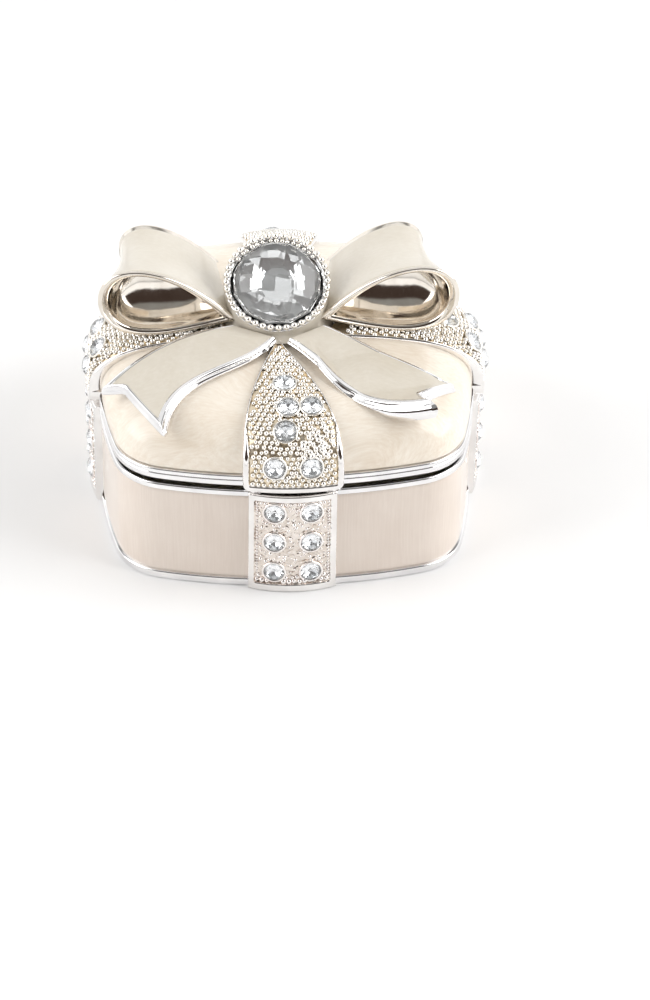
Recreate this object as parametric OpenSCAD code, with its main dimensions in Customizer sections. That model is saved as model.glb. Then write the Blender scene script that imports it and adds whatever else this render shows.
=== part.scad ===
// Gift-box trinket box: a cast and plated square box with bowed sides, a domed lid
// tied with four beaded ribbons, and a bow with one large round stone.
// The origin is the middle of the flat underside, +Z is up and the front faces -Y.

/* [Box] */
// Distance from the middle of the box to the middle of each bowed side
side_half = 28.2; // [26:0.1:32]
// Plan radius of the bowed sides
side_radius = 77; // [60:1:120]
// Plan radius of the corners
corner_radius = 9; // [6:0.5:12]
// Height of the base, from the table to its top rim
base_height = 17.4; // [15:0.1:22]
// Thickness of the base's cast wall
base_wall = 1.7; // [1.4:0.1:2.2]
// Thickness of the base's cast floor
floor_thickness = 1.6; // [1.2:0.1:2.5]
// Gap between the base rim and the lid rim when the box is shut
rim_gap = 0.8; // [0.8:0.05:1]

/* [Lid] */
// Height of the plain band round the foot of the lid
lid_band = 1.8; // [1.4:0.1:2.4]
// Rise of the enamelled dome above the foot of its curve
dome_rise = 10.4; // [8:0.1:11]
// Fullness of the dome's profile, where 2 is an ellipse
dome_power = 2.8; // [2.2:0.1:3.4]
// Thickness of the lid's cast wall
lid_wall = 2.2; // [1.8:0.1:2.4]

/* [Enamel] */
// Depth of the recess that holds the outer enamel
recess = 0.9; // [0.7:0.05:1.1]
// How far the enamel face lies below the bare rims
enamel_sink = 0.35; // [0.2:0.05:0.5]
// Thickness of the enamel inside the box
lining = 0.3; // [0.2:0.05:0.4]

/* [Ribbons] */
// Width of the ribbon on the base
base_ribbon = 13.1; // [10:0.1:15]
// Reach of the base ribbon's side edges from the middle of the box
base_ribbon_edge = 28.5; // [28.3:0.1:29]
// Reach of the base ribbon's crown from the middle of the box
base_ribbon_crown = 29.7; // [29.3:0.1:30]
// Width of the ribbon at the foot of the lid
lid_ribbon = 15.2; // [11:0.1:16]
// Reach of the lid ribbon's side edges from the middle of the box
lid_ribbon_edge = 29.1; // [28.8:0.1:29.6]
// Reach of the lid ribbon's crown from the middle of the box
lid_ribbon_crown = 30; // [29.8:0.1:30.5]
// Height of the lid ribbon over the dome near its rim
ribbon_rise = 1.2; // [0.8:0.1:1.4]
// Height of the lid ribbon over the dome beside the bow
ribbon_rise_inner = 0.7; // [0.5:0.1:1]

/* [Crystals] */
// Diameter of the small crystals
crystal_d = 3; // [2.4:0.1:3.2]
// Height of a small crystal above the ribbon
crystal_h = 0.6; // [0.4:0.1:0.8]
// Spacing of the two columns of crystals
crystal_pitch = 5.44; // [4.6:0.02:6]

/* [Bow] */
// Sideways place of the bow, which sits a little off the middle
bow_x = -1.4; // [-2:0.1:2]
// Reach of the loops' open ends in front of the middle
loop_front = 5.5; // [4:0.1:6]
// Reach of the loops' open ends behind the middle
loop_back = 11.3; // [9:0.1:12]
// How far a loop's band dips between its two rims
loop_dish = 1.1; // [0:0.1:2]
// Size of the mouth of a loop's polished hollow as a share of its outer profile
loop_mouth = 0.85; // [0.8:0.01:0.9]
// Depth of the hollow in the front of a loop
hollow_front = 6.4; // [4:0.1:7]
// Depth of the hollow in the back of a loop
hollow_back = 3.6; // [2:0.1:4]
// Thickness of a tail at its free end
tail_thickness = 1.6; // [1:0.1:2]

/* [Knot] */
// Backward offset of the knot from the middle of the box
knot_y = -2; // [-3:0.1:0]
// Height of the knot's bead ring
knot_z = 36; // [35:0.1:37]
// Forward tilt of the knot
knot_tilt = 31.4; // [20:0.1:35]
// Diameter of the large round stone
stone_d = 12.2; // [11:0.1:12.4]
// Diameter of the circle of bead centres round the stone
bead_circle = 14.8; // [14.4:0.1:15.2]
// Diameter of each bead
bead_d = 1.1; // [0.9:0.02:1.14]
// Number of beads
bead_count = 40; // [36:1:40]

/* [Hinge and magnets] */
// Distance of the hinge pin behind the middle of the box
hinge_y = 30.9; // [30.8:0.1:31.4]
// Width of the hinge
hinge_w = 8.6; // [7:0.1:10]
// Radius of the hinge barrel
barrel_r = 1.2; // [1.1:0.05:1.3]
// Radius of the hinge pin
pin_r = 0.5; // [0.4:0.05:0.6]
// Thickness of the hinge leaves
leaf = 0.34; // [0.3:0.01:0.35]
// Diameter of the magnets
magnet_d = 5; // [4:0.1:5.4]
// Distance of the magnets in front of the middle of the box
magnet_y = 22.5; // [22:0.1:22.5]

/* [Hidden] */

silver = "#d9dbdf";
enamel = "#efe4d2";
inner_enamel = "#e6dcb8";
crystal = "#e9f1f5";

$fn = 48;
touch = 0.03;
foot_rim = 1.2;
top_rim = 1;
lid_z = base_height + rim_gap;
dome_z = lid_z + lid_band - 0.3;
boss_d = magnet_d + 1.5;
web_w = 4;
hub_r = 6.6;
hub_z = dome_z + dome_rise + ribbon_rise_inner + 0.1;
cup_depth = 2.8;

// plan outline: four bowed sides blended into four corners
side_centre = side_half - side_radius;
corner_centre = (side_centre + sqrt(2 * pow(side_radius - corner_radius, 2) - pow(side_centre, 2))) / 2;
blend_angle = atan2(corner_centre, corner_centre - side_centre);
blend_polar = atan2(side_radius * sin(blend_angle), side_centre + side_radius * cos(blend_angle));
base_ribbon_r = arc_radius(base_ribbon / 2, base_ribbon_crown - base_ribbon_edge);
lid_ribbon_r = arc_radius(lid_ribbon / 2, lid_ribbon_crown - lid_ribbon_edge);
ribbon_polar = atan2(lid_ribbon / 2, lid_ribbon_edge);

// hinge
hinge_z = base_height + rim_gap / 2;
barrel_clear = barrel_r + 0.3;
bore_r = pin_r + 0.04;
knuckle_w = hinge_w / 3;
rivet_r = 0.6;
rivet_x = 2.2;
base_leaf_y = side_half - base_wall - 0.15;
lid_leaf_y = side_half - lid_wall - 0.5;
base_rivet_z = base_height - 2.6;
lid_rivet_z = lid_z + 2.4;

// bow profiles, as distance out from the bow's middle and height
loop_front_profile = [[6.2, 31.9], [13, 30.1], [24.6, 26.1], [25.9, 34.9], [26.4, 42.1], [16.5, 43.5]];
loop_back_profile = [[8.4, 31.7], [14, 30.4], [21.8, 27.4], [22.4, 33.4], [23, 39.6], [15.9, 40.2]];
tail_left_inner = [[-1.9, -9.4, 31.3], [-7, -16.7, 30], [-17.2, -15.2, 30.2], [-18.7, -26.3, 27.6]];
tail_left_outer = [[-8.5, -6.5, 31.7], [-14, -7.5, 32], [-21, -10.5, 31.2], [-27.4, -15.5, 27.2]];
tail_right_inner = [[0, -9.8, 31.2], [5, -14.7, 30.1], [7, -22.5, 26], [19.8, -24.3, 30.6]];
tail_right_outer = [[5.7, -6.5, 31.5], [12, -10, 30.6], [17, -13, 28.8], [24.2, -15.2, 26.4]];

function arc_radius(half_chord, rise) = (half_chord * half_chord + rise * rise) / (2 * rise);
function turn(p, a) = [p.x * cos(a) - p.y * sin(a), p.x * sin(a) + p.y * cos(a)];
function mix(a, b, t) = a + (b - a) * t;
function unit(v) = v / norm(v);
function bezier(p, t) =
    p[0] * pow(1 - t, 3) + p[1] * 3 * t * pow(1 - t, 2) + p[2] * 3 * t * t * (1 - t) + p[3] * pow(t, 3);
function steps(low, high, n) = [for (i = [0:n]) mix(low, high, i / n)];

// one corner of the outline, from one ribbon's edge to the next, in the +X +Y quarter
function corner_arc(inset, cut, n = 8) =
    let (
        r = side_radius - inset,
        first = asin(cut / r),
        side = [for (a = steps(first, blend_angle, n)) [side_centre + r * cos(a), r * sin(a)]],
        corner = [for (a = steps(blend_angle, 90 - blend_angle, n))
            [corner_centre, corner_centre] + (corner_radius - inset) * [cos(a), sin(a)]]
    )
    concat(side, [for (i = [1:n - 1]) corner[i]], [for (i = [n:-1:0]) [side[i].y, side[i].x]]);
// the whole outline without ribbons
function plain_outline(inset) =
    [for (k = [0:3]) let (arc = corner_arc(inset, 0)) for (i = [1:len(arc) - 1]) turn(arc[i], 90 * k)];
// the outline with the four base ribbons standing out of it
function ribbon_outline() =
    let (
        half = base_ribbon / 2,
        spread = asin(half / base_ribbon_r),
        arc = [for (a = steps(-spread, spread, 10))
            [base_ribbon_crown - base_ribbon_r + base_ribbon_r * cos(a), base_ribbon_r * sin(a)]],
        all = concat(arc, corner_arc(0, half))
    )
    [for (k = [0:3]) for (p = all) turn(p, 90 * k)];
// one enamel panel of the base, between two insets
function panel_outline(outer, inner) =
    let (front = corner_arc(outer, base_ribbon / 2), back = corner_arc(inner, base_ribbon / 2))
    concat(front, [for (i = [len(back) - 1:-1:0]) back[i]]);

// distance from the middle to the plan outline, in the direction a
function circle_reach(a, cx, cy, r) =
    let (along = cx * cos(a) + cy * sin(a))
    along + sqrt(along * along - cx * cx - cy * cy + r * r);
function fold(a) = let (m = a - 90 * round(a / 90)) abs(m);
function box_reach(a, inset = 0) =
    let (m = fold(a))
    m < blend_polar
        ? circle_reach(m, side_centre, 0, side_radius - inset)
        : circle_reach(m, corner_centre, corner_centre, corner_radius - inset);
function ribbon_reach(a) = circle_reach(fold(a), lid_ribbon_crown - lid_ribbon_r, 0, lid_ribbon_r);

// dome profile: the height share at a given share of the plan reach
function dome_share(s) = pow(max(0, 1 - pow(s, dome_power)), 1 / dome_power);
function rise_at(s) = mix(ribbon_rise_inner, ribbon_rise, min(1, max(0, (s - 0.6) / 0.3)));
function dome_point(a, s, inset) =
    let (r = box_reach(a, inset) * s)
    [r * cos(a), r * sin(a), dome_z + (dome_rise - inset) * dome_share(s)];
function ribbon_point(a, s) =
    let (r = ribbon_reach(a) * s)
    [r * cos(a), r * sin(a), dome_z + (dome_rise + rise_at(s)) * dome_share(s)];
// height of the finished lid over any plan point, with the ribbons taken a little wider than they are
function lid_top(x, y, widen = 5) =
    let (a = atan2(y, x), r = norm([x, y]), on_ribbon = fold(a) < ribbon_polar + widen)
    let (s = r / (on_ribbon ? ribbon_reach(a) : box_reach(a, enamel_sink)))
    s >= 1 ? 0 : dome_z + (dome_rise + (on_ribbon ? rise_at(s) : -enamel_sink)) * dome_share(s);
// shares of the reach from the foot of the dome to the hub, close together where the curve is steep
function dome_stations(n) =
    [for (i = [0:n]) let (t = mix(90, 14, i / n)) pow(sin(t), 2 / dome_power)];

// closed polyhedron between two grids of points that match row for row
module thick_sheet(top, bottom) {
    rows = len(top);
    cols = len(top[0]);
    half = rows * cols;
    points = concat([for (row = top) for (p = row) p], [for (row = bottom) for (p = row) p]);
    upper = [for (i = [0:rows - 2]) for (j = [0:cols - 2]) let (k = i * cols + j)
        each [[k, k + 1, k + cols + 1], [k, k + cols + 1, k + cols]]];
    lower = [for (f = upper) [f[2] + half, f[1] + half, f[0] + half]];
    ring = concat(
        [for (j = [0:cols - 2]) j],
        [for (i = [0:rows - 2]) i * cols + cols - 1],
        [for (j = [cols - 1:-1:1]) (rows - 1) * cols + j],
        [for (i = [rows - 1:-1:1]) i * cols]
    );
    n = len(ring);
    edge = [for (i = [0:n - 1]) let (a = ring[i], b = ring[(i + 1) % n])
        each [[a, a + half, b + half], [a, b + half, b]]];
    polyhedron(points = points, faces = concat(upper, lower, edge), convexity = 6);
}

// closed polyhedron whose rows are rings round the Z axis, with a point at each end
module capped_rings(rings, first_tip, last_tip) {
    rows = len(rings);
    cols = len(rings[0]);
    points = concat([for (ring = rings) for (p = ring) p], [first_tip, last_tip]);
    walls = [for (i = [0:rows - 2]) for (j = [0:cols - 1])
        let (a = i * cols + j, b = i * cols + (j + 1) % cols)
        each [[a, a + cols, b + cols], [a, b + cols, b]]];
    first = [for (j = [0:cols - 1]) [rows * cols, j, (j + 1) % cols]];
    last = [for (j = [0:cols - 1]) let (k = (rows - 1) * cols)
        [rows * cols + 1, k + (j + 1) % cols, k + j]];
    polyhedron(points = points, faces = concat(walls, first, last), convexity = 6);
}

// flat-backed crystals, each placed by the point under it and the direction it faces
module crystal() {
    cylinder(h = crystal_h, d1 = crystal_d, d2 = crystal_d * 0.6);
}
module facing(point, yaw, lift) {
    translate(point) rotate([0, 90 - lift, yaw]) translate([0, 0, touch]) crystal();
}

// ---- base ----

module base_casting() {
    color(silver) difference() {
        union() {
            difference() {
                linear_extrude(base_height) polygon(ribbon_outline());
                translate([0, 0, floor_thickness])
                    linear_extrude(base_height) polygon(plain_outline(base_wall));
            }
            translate([0, -magnet_y, floor_thickness / 2])
                cylinder(h = base_height - floor_thickness / 2, d = boss_d);
            translate([-web_w / 2, base_wall / 2 - side_half, floor_thickness / 2])
                cube([web_w, side_half - magnet_y, base_height - floor_thickness / 2]);
        }
        for (k = [0:3])
            rotate(90 * k) translate([0, 0, foot_rim])
                linear_extrude(base_height - foot_rim - top_rim) polygon(panel_outline(-1, recess));
        translate([0, -magnet_y, base_height - 1.65]) cylinder(h = 3, d = magnet_d + 0.04);
        translate([0, hinge_y, hinge_z]) rotate([0, 90, 0])
            cylinder(h = hinge_w + 0.6, r = barrel_clear, center = true);
        for (x = [-rivet_x, rivet_x])
            translate([x, side_half - base_wall + 0.9, base_rivet_z]) rotate([90, 0, 0])
                cylinder(h = 2, r = rivet_r + 0.02);
    }
}

module base_lining() {
    color(inner_enamel) difference() {
        translate([0, 0, floor_thickness])
            linear_extrude(base_height - floor_thickness - 0.3) polygon(plain_outline(base_wall));
        translate([0, 0, floor_thickness + lining])
            linear_extrude(base_height) polygon(plain_outline(base_wall + lining));
        translate([0, -magnet_y, 0]) cylinder(h = base_height, d = boss_d);
        translate([-web_w / 2, -side_half, 0]) cube([web_w, side_half - magnet_y, base_height]);
        translate([-hinge_w / 2 - 0.2, side_half - base_wall - 2, base_height - 5.4])
            cube([hinge_w + 0.4, 4, 6]);
    }
}

module base_magnet() {
    color("#b9bcc2") translate([0, -magnet_y, base_height - 1.65]) cylinder(h = 2, d = magnet_d);
}

module base_enamel(k) {
    color(enamel) rotate(90 * k) translate([0, 0, foot_rim])
        linear_extrude(base_height - foot_rim - top_rim) polygon(panel_outline(enamel_sink, recess));
}

module base_crystals(k) {
    lean = asin(crystal_pitch / 2 / base_ribbon_r);
    color(crystal) rotate(90 * k) for (side = [-1, 1]) for (z = [3.6, 9, 14.3]) {
        place = [base_ribbon_crown - base_ribbon_r * (1 - cos(lean)), side * crystal_pitch / 2, z];
        facing(place, side * lean, 0);
    }
}

// ---- hinge ----

module leaf_knuckles(spans) {
    for (span = spans)
        translate([span[0], hinge_y, hinge_z]) rotate([0, 90, 0])
            cylinder(h = span[1] - span[0], r = barrel_r);
}

module pin_bore() {
    translate([0, hinge_y, hinge_z]) rotate([0, 90, 0]) cylinder(h = hinge_w + 2, r = bore_r, center = true);
}

module rivet_holes(z) {
    for (x = [-rivet_x, rivet_x])
        translate([x, side_half, z]) rotate([90, 0, 0]) cylinder(h = 4, r = rivet_r + 0.02);
}

module hinge_base_leaf() {
    inner = base_leaf_y;
    plate_z = base_height + 0.02;
    gap = 0.08;
    spans = [[-hinge_w / 2, -knuckle_w / 2 - gap], [knuckle_w / 2 + gap, hinge_w / 2]];
    color(silver) difference() {
        union() {
            leaf_knuckles(spans);
            for (span = spans)
                translate([span[0], inner, plate_z]) cube([span[1] - span[0], hinge_y - inner, leaf]);
            translate([-hinge_w / 2, inner - leaf, plate_z])
                cube([hinge_w, hinge_y - inner - barrel_clear, leaf]);
            translate([-hinge_w / 2, inner - leaf, base_height - 5])
                cube([hinge_w, leaf, 5.02 + leaf]);
        }
        pin_bore();
        rivet_holes(base_rivet_z);
    }
}

module hinge_lid_leaf() {
    inner = lid_leaf_y;
    plate_z = lid_z - 0.02 - leaf;
    color(silver) difference() {
        union() {
            leaf_knuckles([[-knuckle_w / 2, knuckle_w / 2]]);
            translate([-knuckle_w / 2, inner, plate_z]) cube([knuckle_w, hinge_y - inner, leaf]);
            translate([-hinge_w / 2, inner - leaf, plate_z])
                cube([hinge_w, hinge_y - inner - barrel_clear + leaf, leaf]);
            translate([-hinge_w / 2, inner - leaf, plate_z]) cube([hinge_w, leaf, 4.2]);
        }
        pin_bore();
        rivet_holes(lid_rivet_z);
    }
}

module hinge_pin() {
    color(silver) translate([0, hinge_y, hinge_z]) rotate([0, 90, 0]) {
        cylinder(h = hinge_w + 0.2, r = pin_r, center = true);
        for (side = [-1, 1])
            translate([0, 0, side * (hinge_w / 2 + 0.25)]) cylinder(h = 0.3, r = pin_r + 0.25, center = true);
    }
}

module rivets(face_y, z, reach) {
    color(silver) for (x = [-rivet_x, rivet_x])
        translate([x, face_y, z]) rotate([-90, 0, 0]) {
            cylinder(h = reach, r = rivet_r);
            translate([0, 0, -0.35]) cylinder(h = 0.35, r1 = 0.7, r2 = 1);
        }
}

// ---- lid ----

// plan directions of the lid's grid: each ribbon, a step, then the corner between ribbons
corner_directions = concat(
    steps(ribbon_polar + 0.1, blend_polar, 4),
    [for (i = [1:6]) mix(blend_polar, 90 - blend_polar, i / 6)],
    [for (i = [1:4]) mix(90 - blend_polar, 90 - ribbon_polar - 0.1, i / 4)]
);
lid_directions = [for (k = [0:3]) for (a = concat(steps(-ribbon_polar, ribbon_polar, 8), corner_directions))
    a + 90 * k];

function lid_ring(s, inset) =
    [for (a = lid_directions) fold(a) < ribbon_polar + 0.05 ? ribbon_point(a, s) : dome_point(a, s, inset)];
function foot_ring(z, inset) =
    [for (a = lid_directions)
        let (r = fold(a) < ribbon_polar + 0.05 ? ribbon_reach(a) : box_reach(a, inset))
        [r * cos(a), r * sin(a), z]];
function inner_ring(s, inset) = [for (a = lid_directions) dome_point(a, s, inset)];
function inner_foot(z, inset) =
    [for (a = lid_directions) let (r = box_reach(a, inset)) [r * cos(a), r * sin(a), z]];
function hub_ring(z) = [for (a = lid_directions) [hub_r * cos(a), hub_r * sin(a), z]];

module lid_shell() {
    stations = dome_stations(9);
    outside = concat(
        [hub_ring(hub_z)],
        [for (i = [9:-1:1]) lid_ring(stations[i], recess)],
        [foot_ring(lid_z + lid_band, recess), foot_ring(lid_z + lid_band - 0.05, 0), foot_ring(lid_z, 0)]
    );
    inside = concat(
        [inner_foot(lid_z, lid_wall)],
        [for (i = [1:9]) inner_ring(stations[i], lid_wall)]
    );
    top = [0, 0, hub_z];
    roof = [0, 0, dome_z + dome_rise - lid_wall];
    capped_rings(concat(outside, inside), top, roof);
}

module lid_casting() {
    color(silver) difference() {
        lid_shell();
        translate([0, hinge_y, hinge_z]) rotate([0, 90, 0])
            cylinder(h = hinge_w + 0.6, r = barrel_clear, center = true);
        for (x = [-rivet_x, rivet_x])
            translate([x, side_half - lid_wall + 0.7, lid_rivet_z]) rotate([90, 0, 0])
                cylinder(h = 2, r = rivet_r + 0.02);
        knot_frame() translate([0, 0, -cup_depth - touch]) cylinder(h = 8, r = bead_circle / 2 + 0.8);
    }
}

module lid_magnet_cup() {
    color(silver) translate([0, -magnet_y, lid_z]) difference() {
        cylinder(h = 3, d = boss_d);
        translate([0, 0, -1]) cylinder(h = 2.65, d = magnet_d + 0.04);
    }
}

module lid_lining() {
    stations = dome_stations(9);
    outer = lid_wall + touch;
    inner = lid_wall + lining;
    rings = concat(
        [for (i = [9:-1:1]) inner_ring(stations[i], outer)],
        [inner_foot(lid_z + 0.3, outer), inner_foot(lid_z + 0.3, inner)],
        [for (i = [1:9]) inner_ring(stations[i], inner)]
    );
    color(inner_enamel) difference() {
        capped_rings(rings, [0, 0, dome_z + dome_rise - outer], [0, 0, dome_z + dome_rise - inner]);
        translate([0, -magnet_y, lid_z]) cylinder(h = 9, d = boss_d);
        translate([-hinge_w / 2 - 0.2, side_half - lid_wall - 3, lid_z - 1]) cube([hinge_w + 0.4, 6, 5.8]);
    }
}

module lid_magnet() {
    color("#b9bcc2") translate([0, -magnet_y, lid_z - 0.35]) cylinder(h = 2, d = magnet_d);
}

module lid_enamel(k) {
    stations = dome_stations(9);
    function face(inset) = concat(
        [[for (a = corner_directions)
            let (b = a + 90 * k, r = box_reach(b, inset))
            [r * cos(b), r * sin(b), lid_z + lid_band + touch]]],
        [for (i = [1:9]) [for (a = corner_directions) dome_point(a + 90 * k, stations[i], inset)]]
    );
    color(enamel) thick_sheet(face(enamel_sink), face(recess - touch));
}

// crystals of each lid ribbon from the rim up: share of the reach, then sideways places.
// The side ribbons pass under the loops and the back one is mostly plain, so they carry fewer.
front_rows = [[0.993, [-2.7, 2.6]], [0.89, [-1.1]], [0.765, [-0.6, 2.8]], [0.61, [-0.9]]];
side_rows = [[0.993, [-2.7, 2.6]], [0.94, [-2.7, 2.6]], [0.81, [-0.6]]];
back_rows = [[0.993, [-2.7, 2.6]], [0.94, [0.9]]];
function ribbon_normal(a, s) =
    unit(cross(
        ribbon_point(a + 0.2, s) - ribbon_point(a - 0.2, s),
        ribbon_point(a, s - 0.002) - ribbon_point(a, s + 0.002)
    ));

module lid_crystals(k, rows) {
    color(crystal) rotate(90 * k) for (row = rows) for (x = row[1]) {
        s = row[0];
        a = asin(x / (ribbon_reach(0) * s));
        n = ribbon_normal(a, s);
        facing(ribbon_point(a, s), atan2(n.y, n.x), asin(n.z));
    }
}

// ---- knot ----

module knot_frame() {
    translate([bow_x, knot_y, knot_z]) rotate([knot_tilt, 0, 0]) children();
}

module knot_core() {
    color(enamel) intersection() {
        translate([bow_x, -0.6, hub_z]) cylinder(h = 8, r = 5);
        knot_frame() translate([0, 0, -20 - cup_depth - touch]) cylinder(h = 20, r = 14);
    }
}

module knot_cup() {
    bore = stone_d / 2 + 0.15;
    color(silver) knot_frame() rotate_extrude()
        polygon([
            [0, -cup_depth], [bead_circle / 2 - 1, -cup_depth], [bead_circle / 2 + 0.6, -touch],
            [bore, -touch], [bore, -0.3], [0, -2.3]
        ]);
}

module bead_ring() {
    color(silver) knot_frame() translate([0, 0, bead_d / 2])
        for (i = [0:bead_count - 1])
            rotate(360 * i / bead_count) translate([bead_circle / 2, 0, 0]) sphere(d = bead_d);
}

module stone_foil() {
    r = stone_d / 2;
    color("#c9ccd2") knot_frame() translate([0, 0, 0.15 + touch]) rotate_extrude()
        polygon([[0, -2.1], [r - 0.1, -0.1], [r - 0.1, 0], [0, -1.98]]);
}

module centre_stone() {
    r = stone_d / 2;
    crown = 2.6;
    dome_r = (r * r + crown * crown) / (2 * crown);
    color(crystal) knot_frame() translate([0, 0, 0.3 + touch]) rotate_extrude()
        polygon(concat(
            [[0, -1.95], [r, 0]],
            [for (a = steps(asin(r / dome_r), 0, 8))
                [dome_r * sin(a), 0.35 + crown - dome_r + dome_r * cos(a)]]
        ));
}

// ---- bow ----

// size of the enamel's face on the loop's own scale, and its clearance over the lid
loop_skin = 1.04;
loop_clear = 0.25;
// each loop's length against its profile, at its front end and at its back end
loop_stretch_left = [1.03, 1.05];
loop_stretch_right = [1.03, 1];
// closed loop profile at depth v, with t from 0 at the knot, round the tip, back to the knot
function loop_profile(p, t) =
    t < 0.5
        ? bezier([p[0], p[1], p[2], p[3]], 2 * t)
        : bezier([p[3], p[4], p[5], p[0]], 2 * t - 1);
loop_middle_front = [19, 35.2];
loop_middle_back = [17, 34];
function loop_middle(v) = mix(loop_middle_front, loop_middle_back, v);
// a point of the loop, kept clear of the lid: swell 1 is the outer face, under 1 is further in
function loop_point(side, t, v, swell) =
    let (
        edge = mix(loop_profile(loop_front_profile, t), loop_profile(loop_back_profile, t), v),
        spoke = edge - loop_middle(v),
        dip = loop_dish * 4 * v * (1 - v) * sin(180 * t),
        p = loop_middle(v) + spoke * (swell * (norm(spoke) - dip) / norm(spoke)),
        stretch = side < 0 ? loop_stretch_left : loop_stretch_right,
        x = bow_x + side * p.x * mix(stretch[0], stretch[1], v),
        y = mix(-loop_front, loop_back, v)
    )
    [x, y, max(p.y, lid_top(x, y) + loop_clear + 7 * (loop_skin - swell))];

round_steps = 44;
enamel_rows = steps(0.07, 0.93, 6);

// deepest points of a loop's two hollows, as distance out from the bow's middle and height
hollow_front_place = [19.6, 38];
hollow_back_place = [17, 35.6];
hollow_turns = steps(12, 84, 8);

// a loop is solid, with a polished bowl in its front end and a shallower one in its back end
module bow_loop(side) {
    function wall(swell, v) = [for (j = [0:round_steps - 1]) loop_point(side, j / round_steps, v, swell)];
    function tip(place, v, depth) = [bow_x + side * place.x, mix(-loop_front, loop_back, v) + depth, place.y];
    function bowl(place, v, depth, turns) =
        let (mouth = wall(loop_mouth, v), deep = tip(place, v, depth))
        [for (a = turns) [for (p = mouth)
            [mix(deep.x, p.x, cos(a)), mix(p.y, deep.y, sin(a)), mix(deep.z, p.z, cos(a))]]];
    front_tip = tip(hollow_front_place, 0, hollow_front);
    back_tip = tip(hollow_back_place, 1, -hollow_back);
    rings = concat(
        bowl(hollow_front_place, 0, hollow_front, [for (i = [8:-1:0]) hollow_turns[i]]),
        [wall(loop_mouth, 0)],
        [for (v = concat([0], enamel_rows, [1])) wall(1, v)],
        [wall(loop_mouth, 1)],
        bowl(hollow_back_place, 1, -hollow_back, hollow_turns)
    );
    reversed = [for (i = [len(rings) - 1:-1:0]) rings[i]];
    color(silver)
        if (side < 0) capped_rings(rings, front_tip, back_tip);
        else capped_rings(reversed, back_tip, front_tip);
}

module loop_enamel(side) {
    function skin(swell) = [for (v = enamel_rows)
        [for (j = [2:round_steps - 2]) loop_point(side, j / round_steps, v, swell)]];
    outer = skin(loop_skin);
    inner = skin(1.016);
    color(enamel) thick_sheet(side > 0 ? inner : outer, side > 0 ? outer : inner);
}

// each tail's notch: its place across the free end, and its depth as a share of the tail's length
notch_left = [0.76, 0.075];
notch_right = [0.36, 0.09];
// a tail's upper face: u runs from the knot to the free end, v from the inner edge to the outer
function tail_u(u, v, margin, notch) =
    let (cut = notch[1] * (v < notch[0] ? v / notch[0] : (1 - v) / (1 - notch[0])))
    margin + u * (1 - cut - 2 * margin);
function tail_top(edges, u, v) =
    let (p = mix(bezier(edges[0], u), bezier(edges[1], u), v))
    [p.x, p.y, max(p.z, lid_top(p.x, p.y) + 0.6)];
function tail_under(edges, u, v) =
    let (p = tail_top(edges, u, v), thick = mix(0.9, tail_thickness, u))
    [p.x, p.y, max(p.z - thick, lid_top(p.x, p.y) + 0.1)];

enamel_ends = steps(0, 1, 18);
enamel_cols = steps(0.08, 0.92, 8);

module bow_tail(edges, notch, flip) {
    cols = concat([0], enamel_cols, [1]);
    function along(v) = concat(
        [tail_u(0, v, 0, notch)], [for (u = enamel_ends) tail_u(u, v, 0.03, notch)], [tail_u(1, v, 0, notch)]);
    top = [for (i = [0:20]) [for (v = cols) tail_top(edges, along(v)[i], v)]];
    under = [for (i = [0:20]) [for (v = cols) tail_under(edges, along(v)[i], v)]];
    color(silver) thick_sheet(flip ? under : top, flip ? top : under);
}

module tail_enamel(edges, notch, flip) {
    function lifted(h) = [for (u = enamel_ends) [for (v = enamel_cols)
        tail_top(edges, tail_u(u, v, 0.03, notch), v) + [0, 0, h]]];
    color(enamel) thick_sheet(flip ? lifted(0.18) : lifted(0.38), flip ? lifted(0.38) : lifted(0.18));
}

base_casting();
base_lining();
base_magnet();
base_enamel(0);  // base_enamel_back_right
base_enamel(1);  // base_enamel_back_left
base_enamel(2);  // base_enamel_front_left
base_enamel(3);  // base_enamel_front_right
base_crystals(0);  // base_crystals_right
base_crystals(1);  // base_crystals_back
base_crystals(2);  // base_crystals_left
base_crystals(3);  // base_crystals_front
hinge_base_leaf();
rivets(base_leaf_y - leaf - 0.02, base_rivet_z, 1.2);  // hinge_base_rivets
hinge_pin();
hinge_lid_leaf();
rivets(lid_leaf_y - leaf - 0.02, lid_rivet_z, 1.5);  // hinge_lid_rivets
lid_casting();
lid_lining();
lid_magnet_cup();
lid_magnet();
lid_enamel(0);  // lid_enamel_back_right
lid_enamel(1);  // lid_enamel_back_left
lid_enamel(2);  // lid_enamel_front_left
lid_enamel(3);  // lid_enamel_front_right
lid_crystals(0, side_rows);  // lid_crystals_right
lid_crystals(1, back_rows);  // lid_crystals_back
lid_crystals(2, side_rows);  // lid_crystals_left
lid_crystals(3, front_rows);  // lid_crystals_front
knot_core();
knot_cup();
bead_ring();
stone_foil();
centre_stone();
bow_loop(-1);  // bow_loop_left
bow_loop(1);  // bow_loop_right
loop_enamel(-1);  // loop_enamel_left
loop_enamel(1);  // loop_enamel_right
bow_tail([tail_left_inner, tail_left_outer], notch_left, false);  // bow_tail_left
bow_tail([tail_right_inner, tail_right_outer], notch_right, true);  // bow_tail_right
tail_enamel([tail_left_inner, tail_left_outer], notch_left, false);  // tail_enamel_left
tail_enamel([tail_right_inner, tail_right_outer], notch_right, true);  // tail_enamel_right
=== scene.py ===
import math

import bmesh
import bpy
import numpy as np
from mathutils import Matrix, Vector


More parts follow.
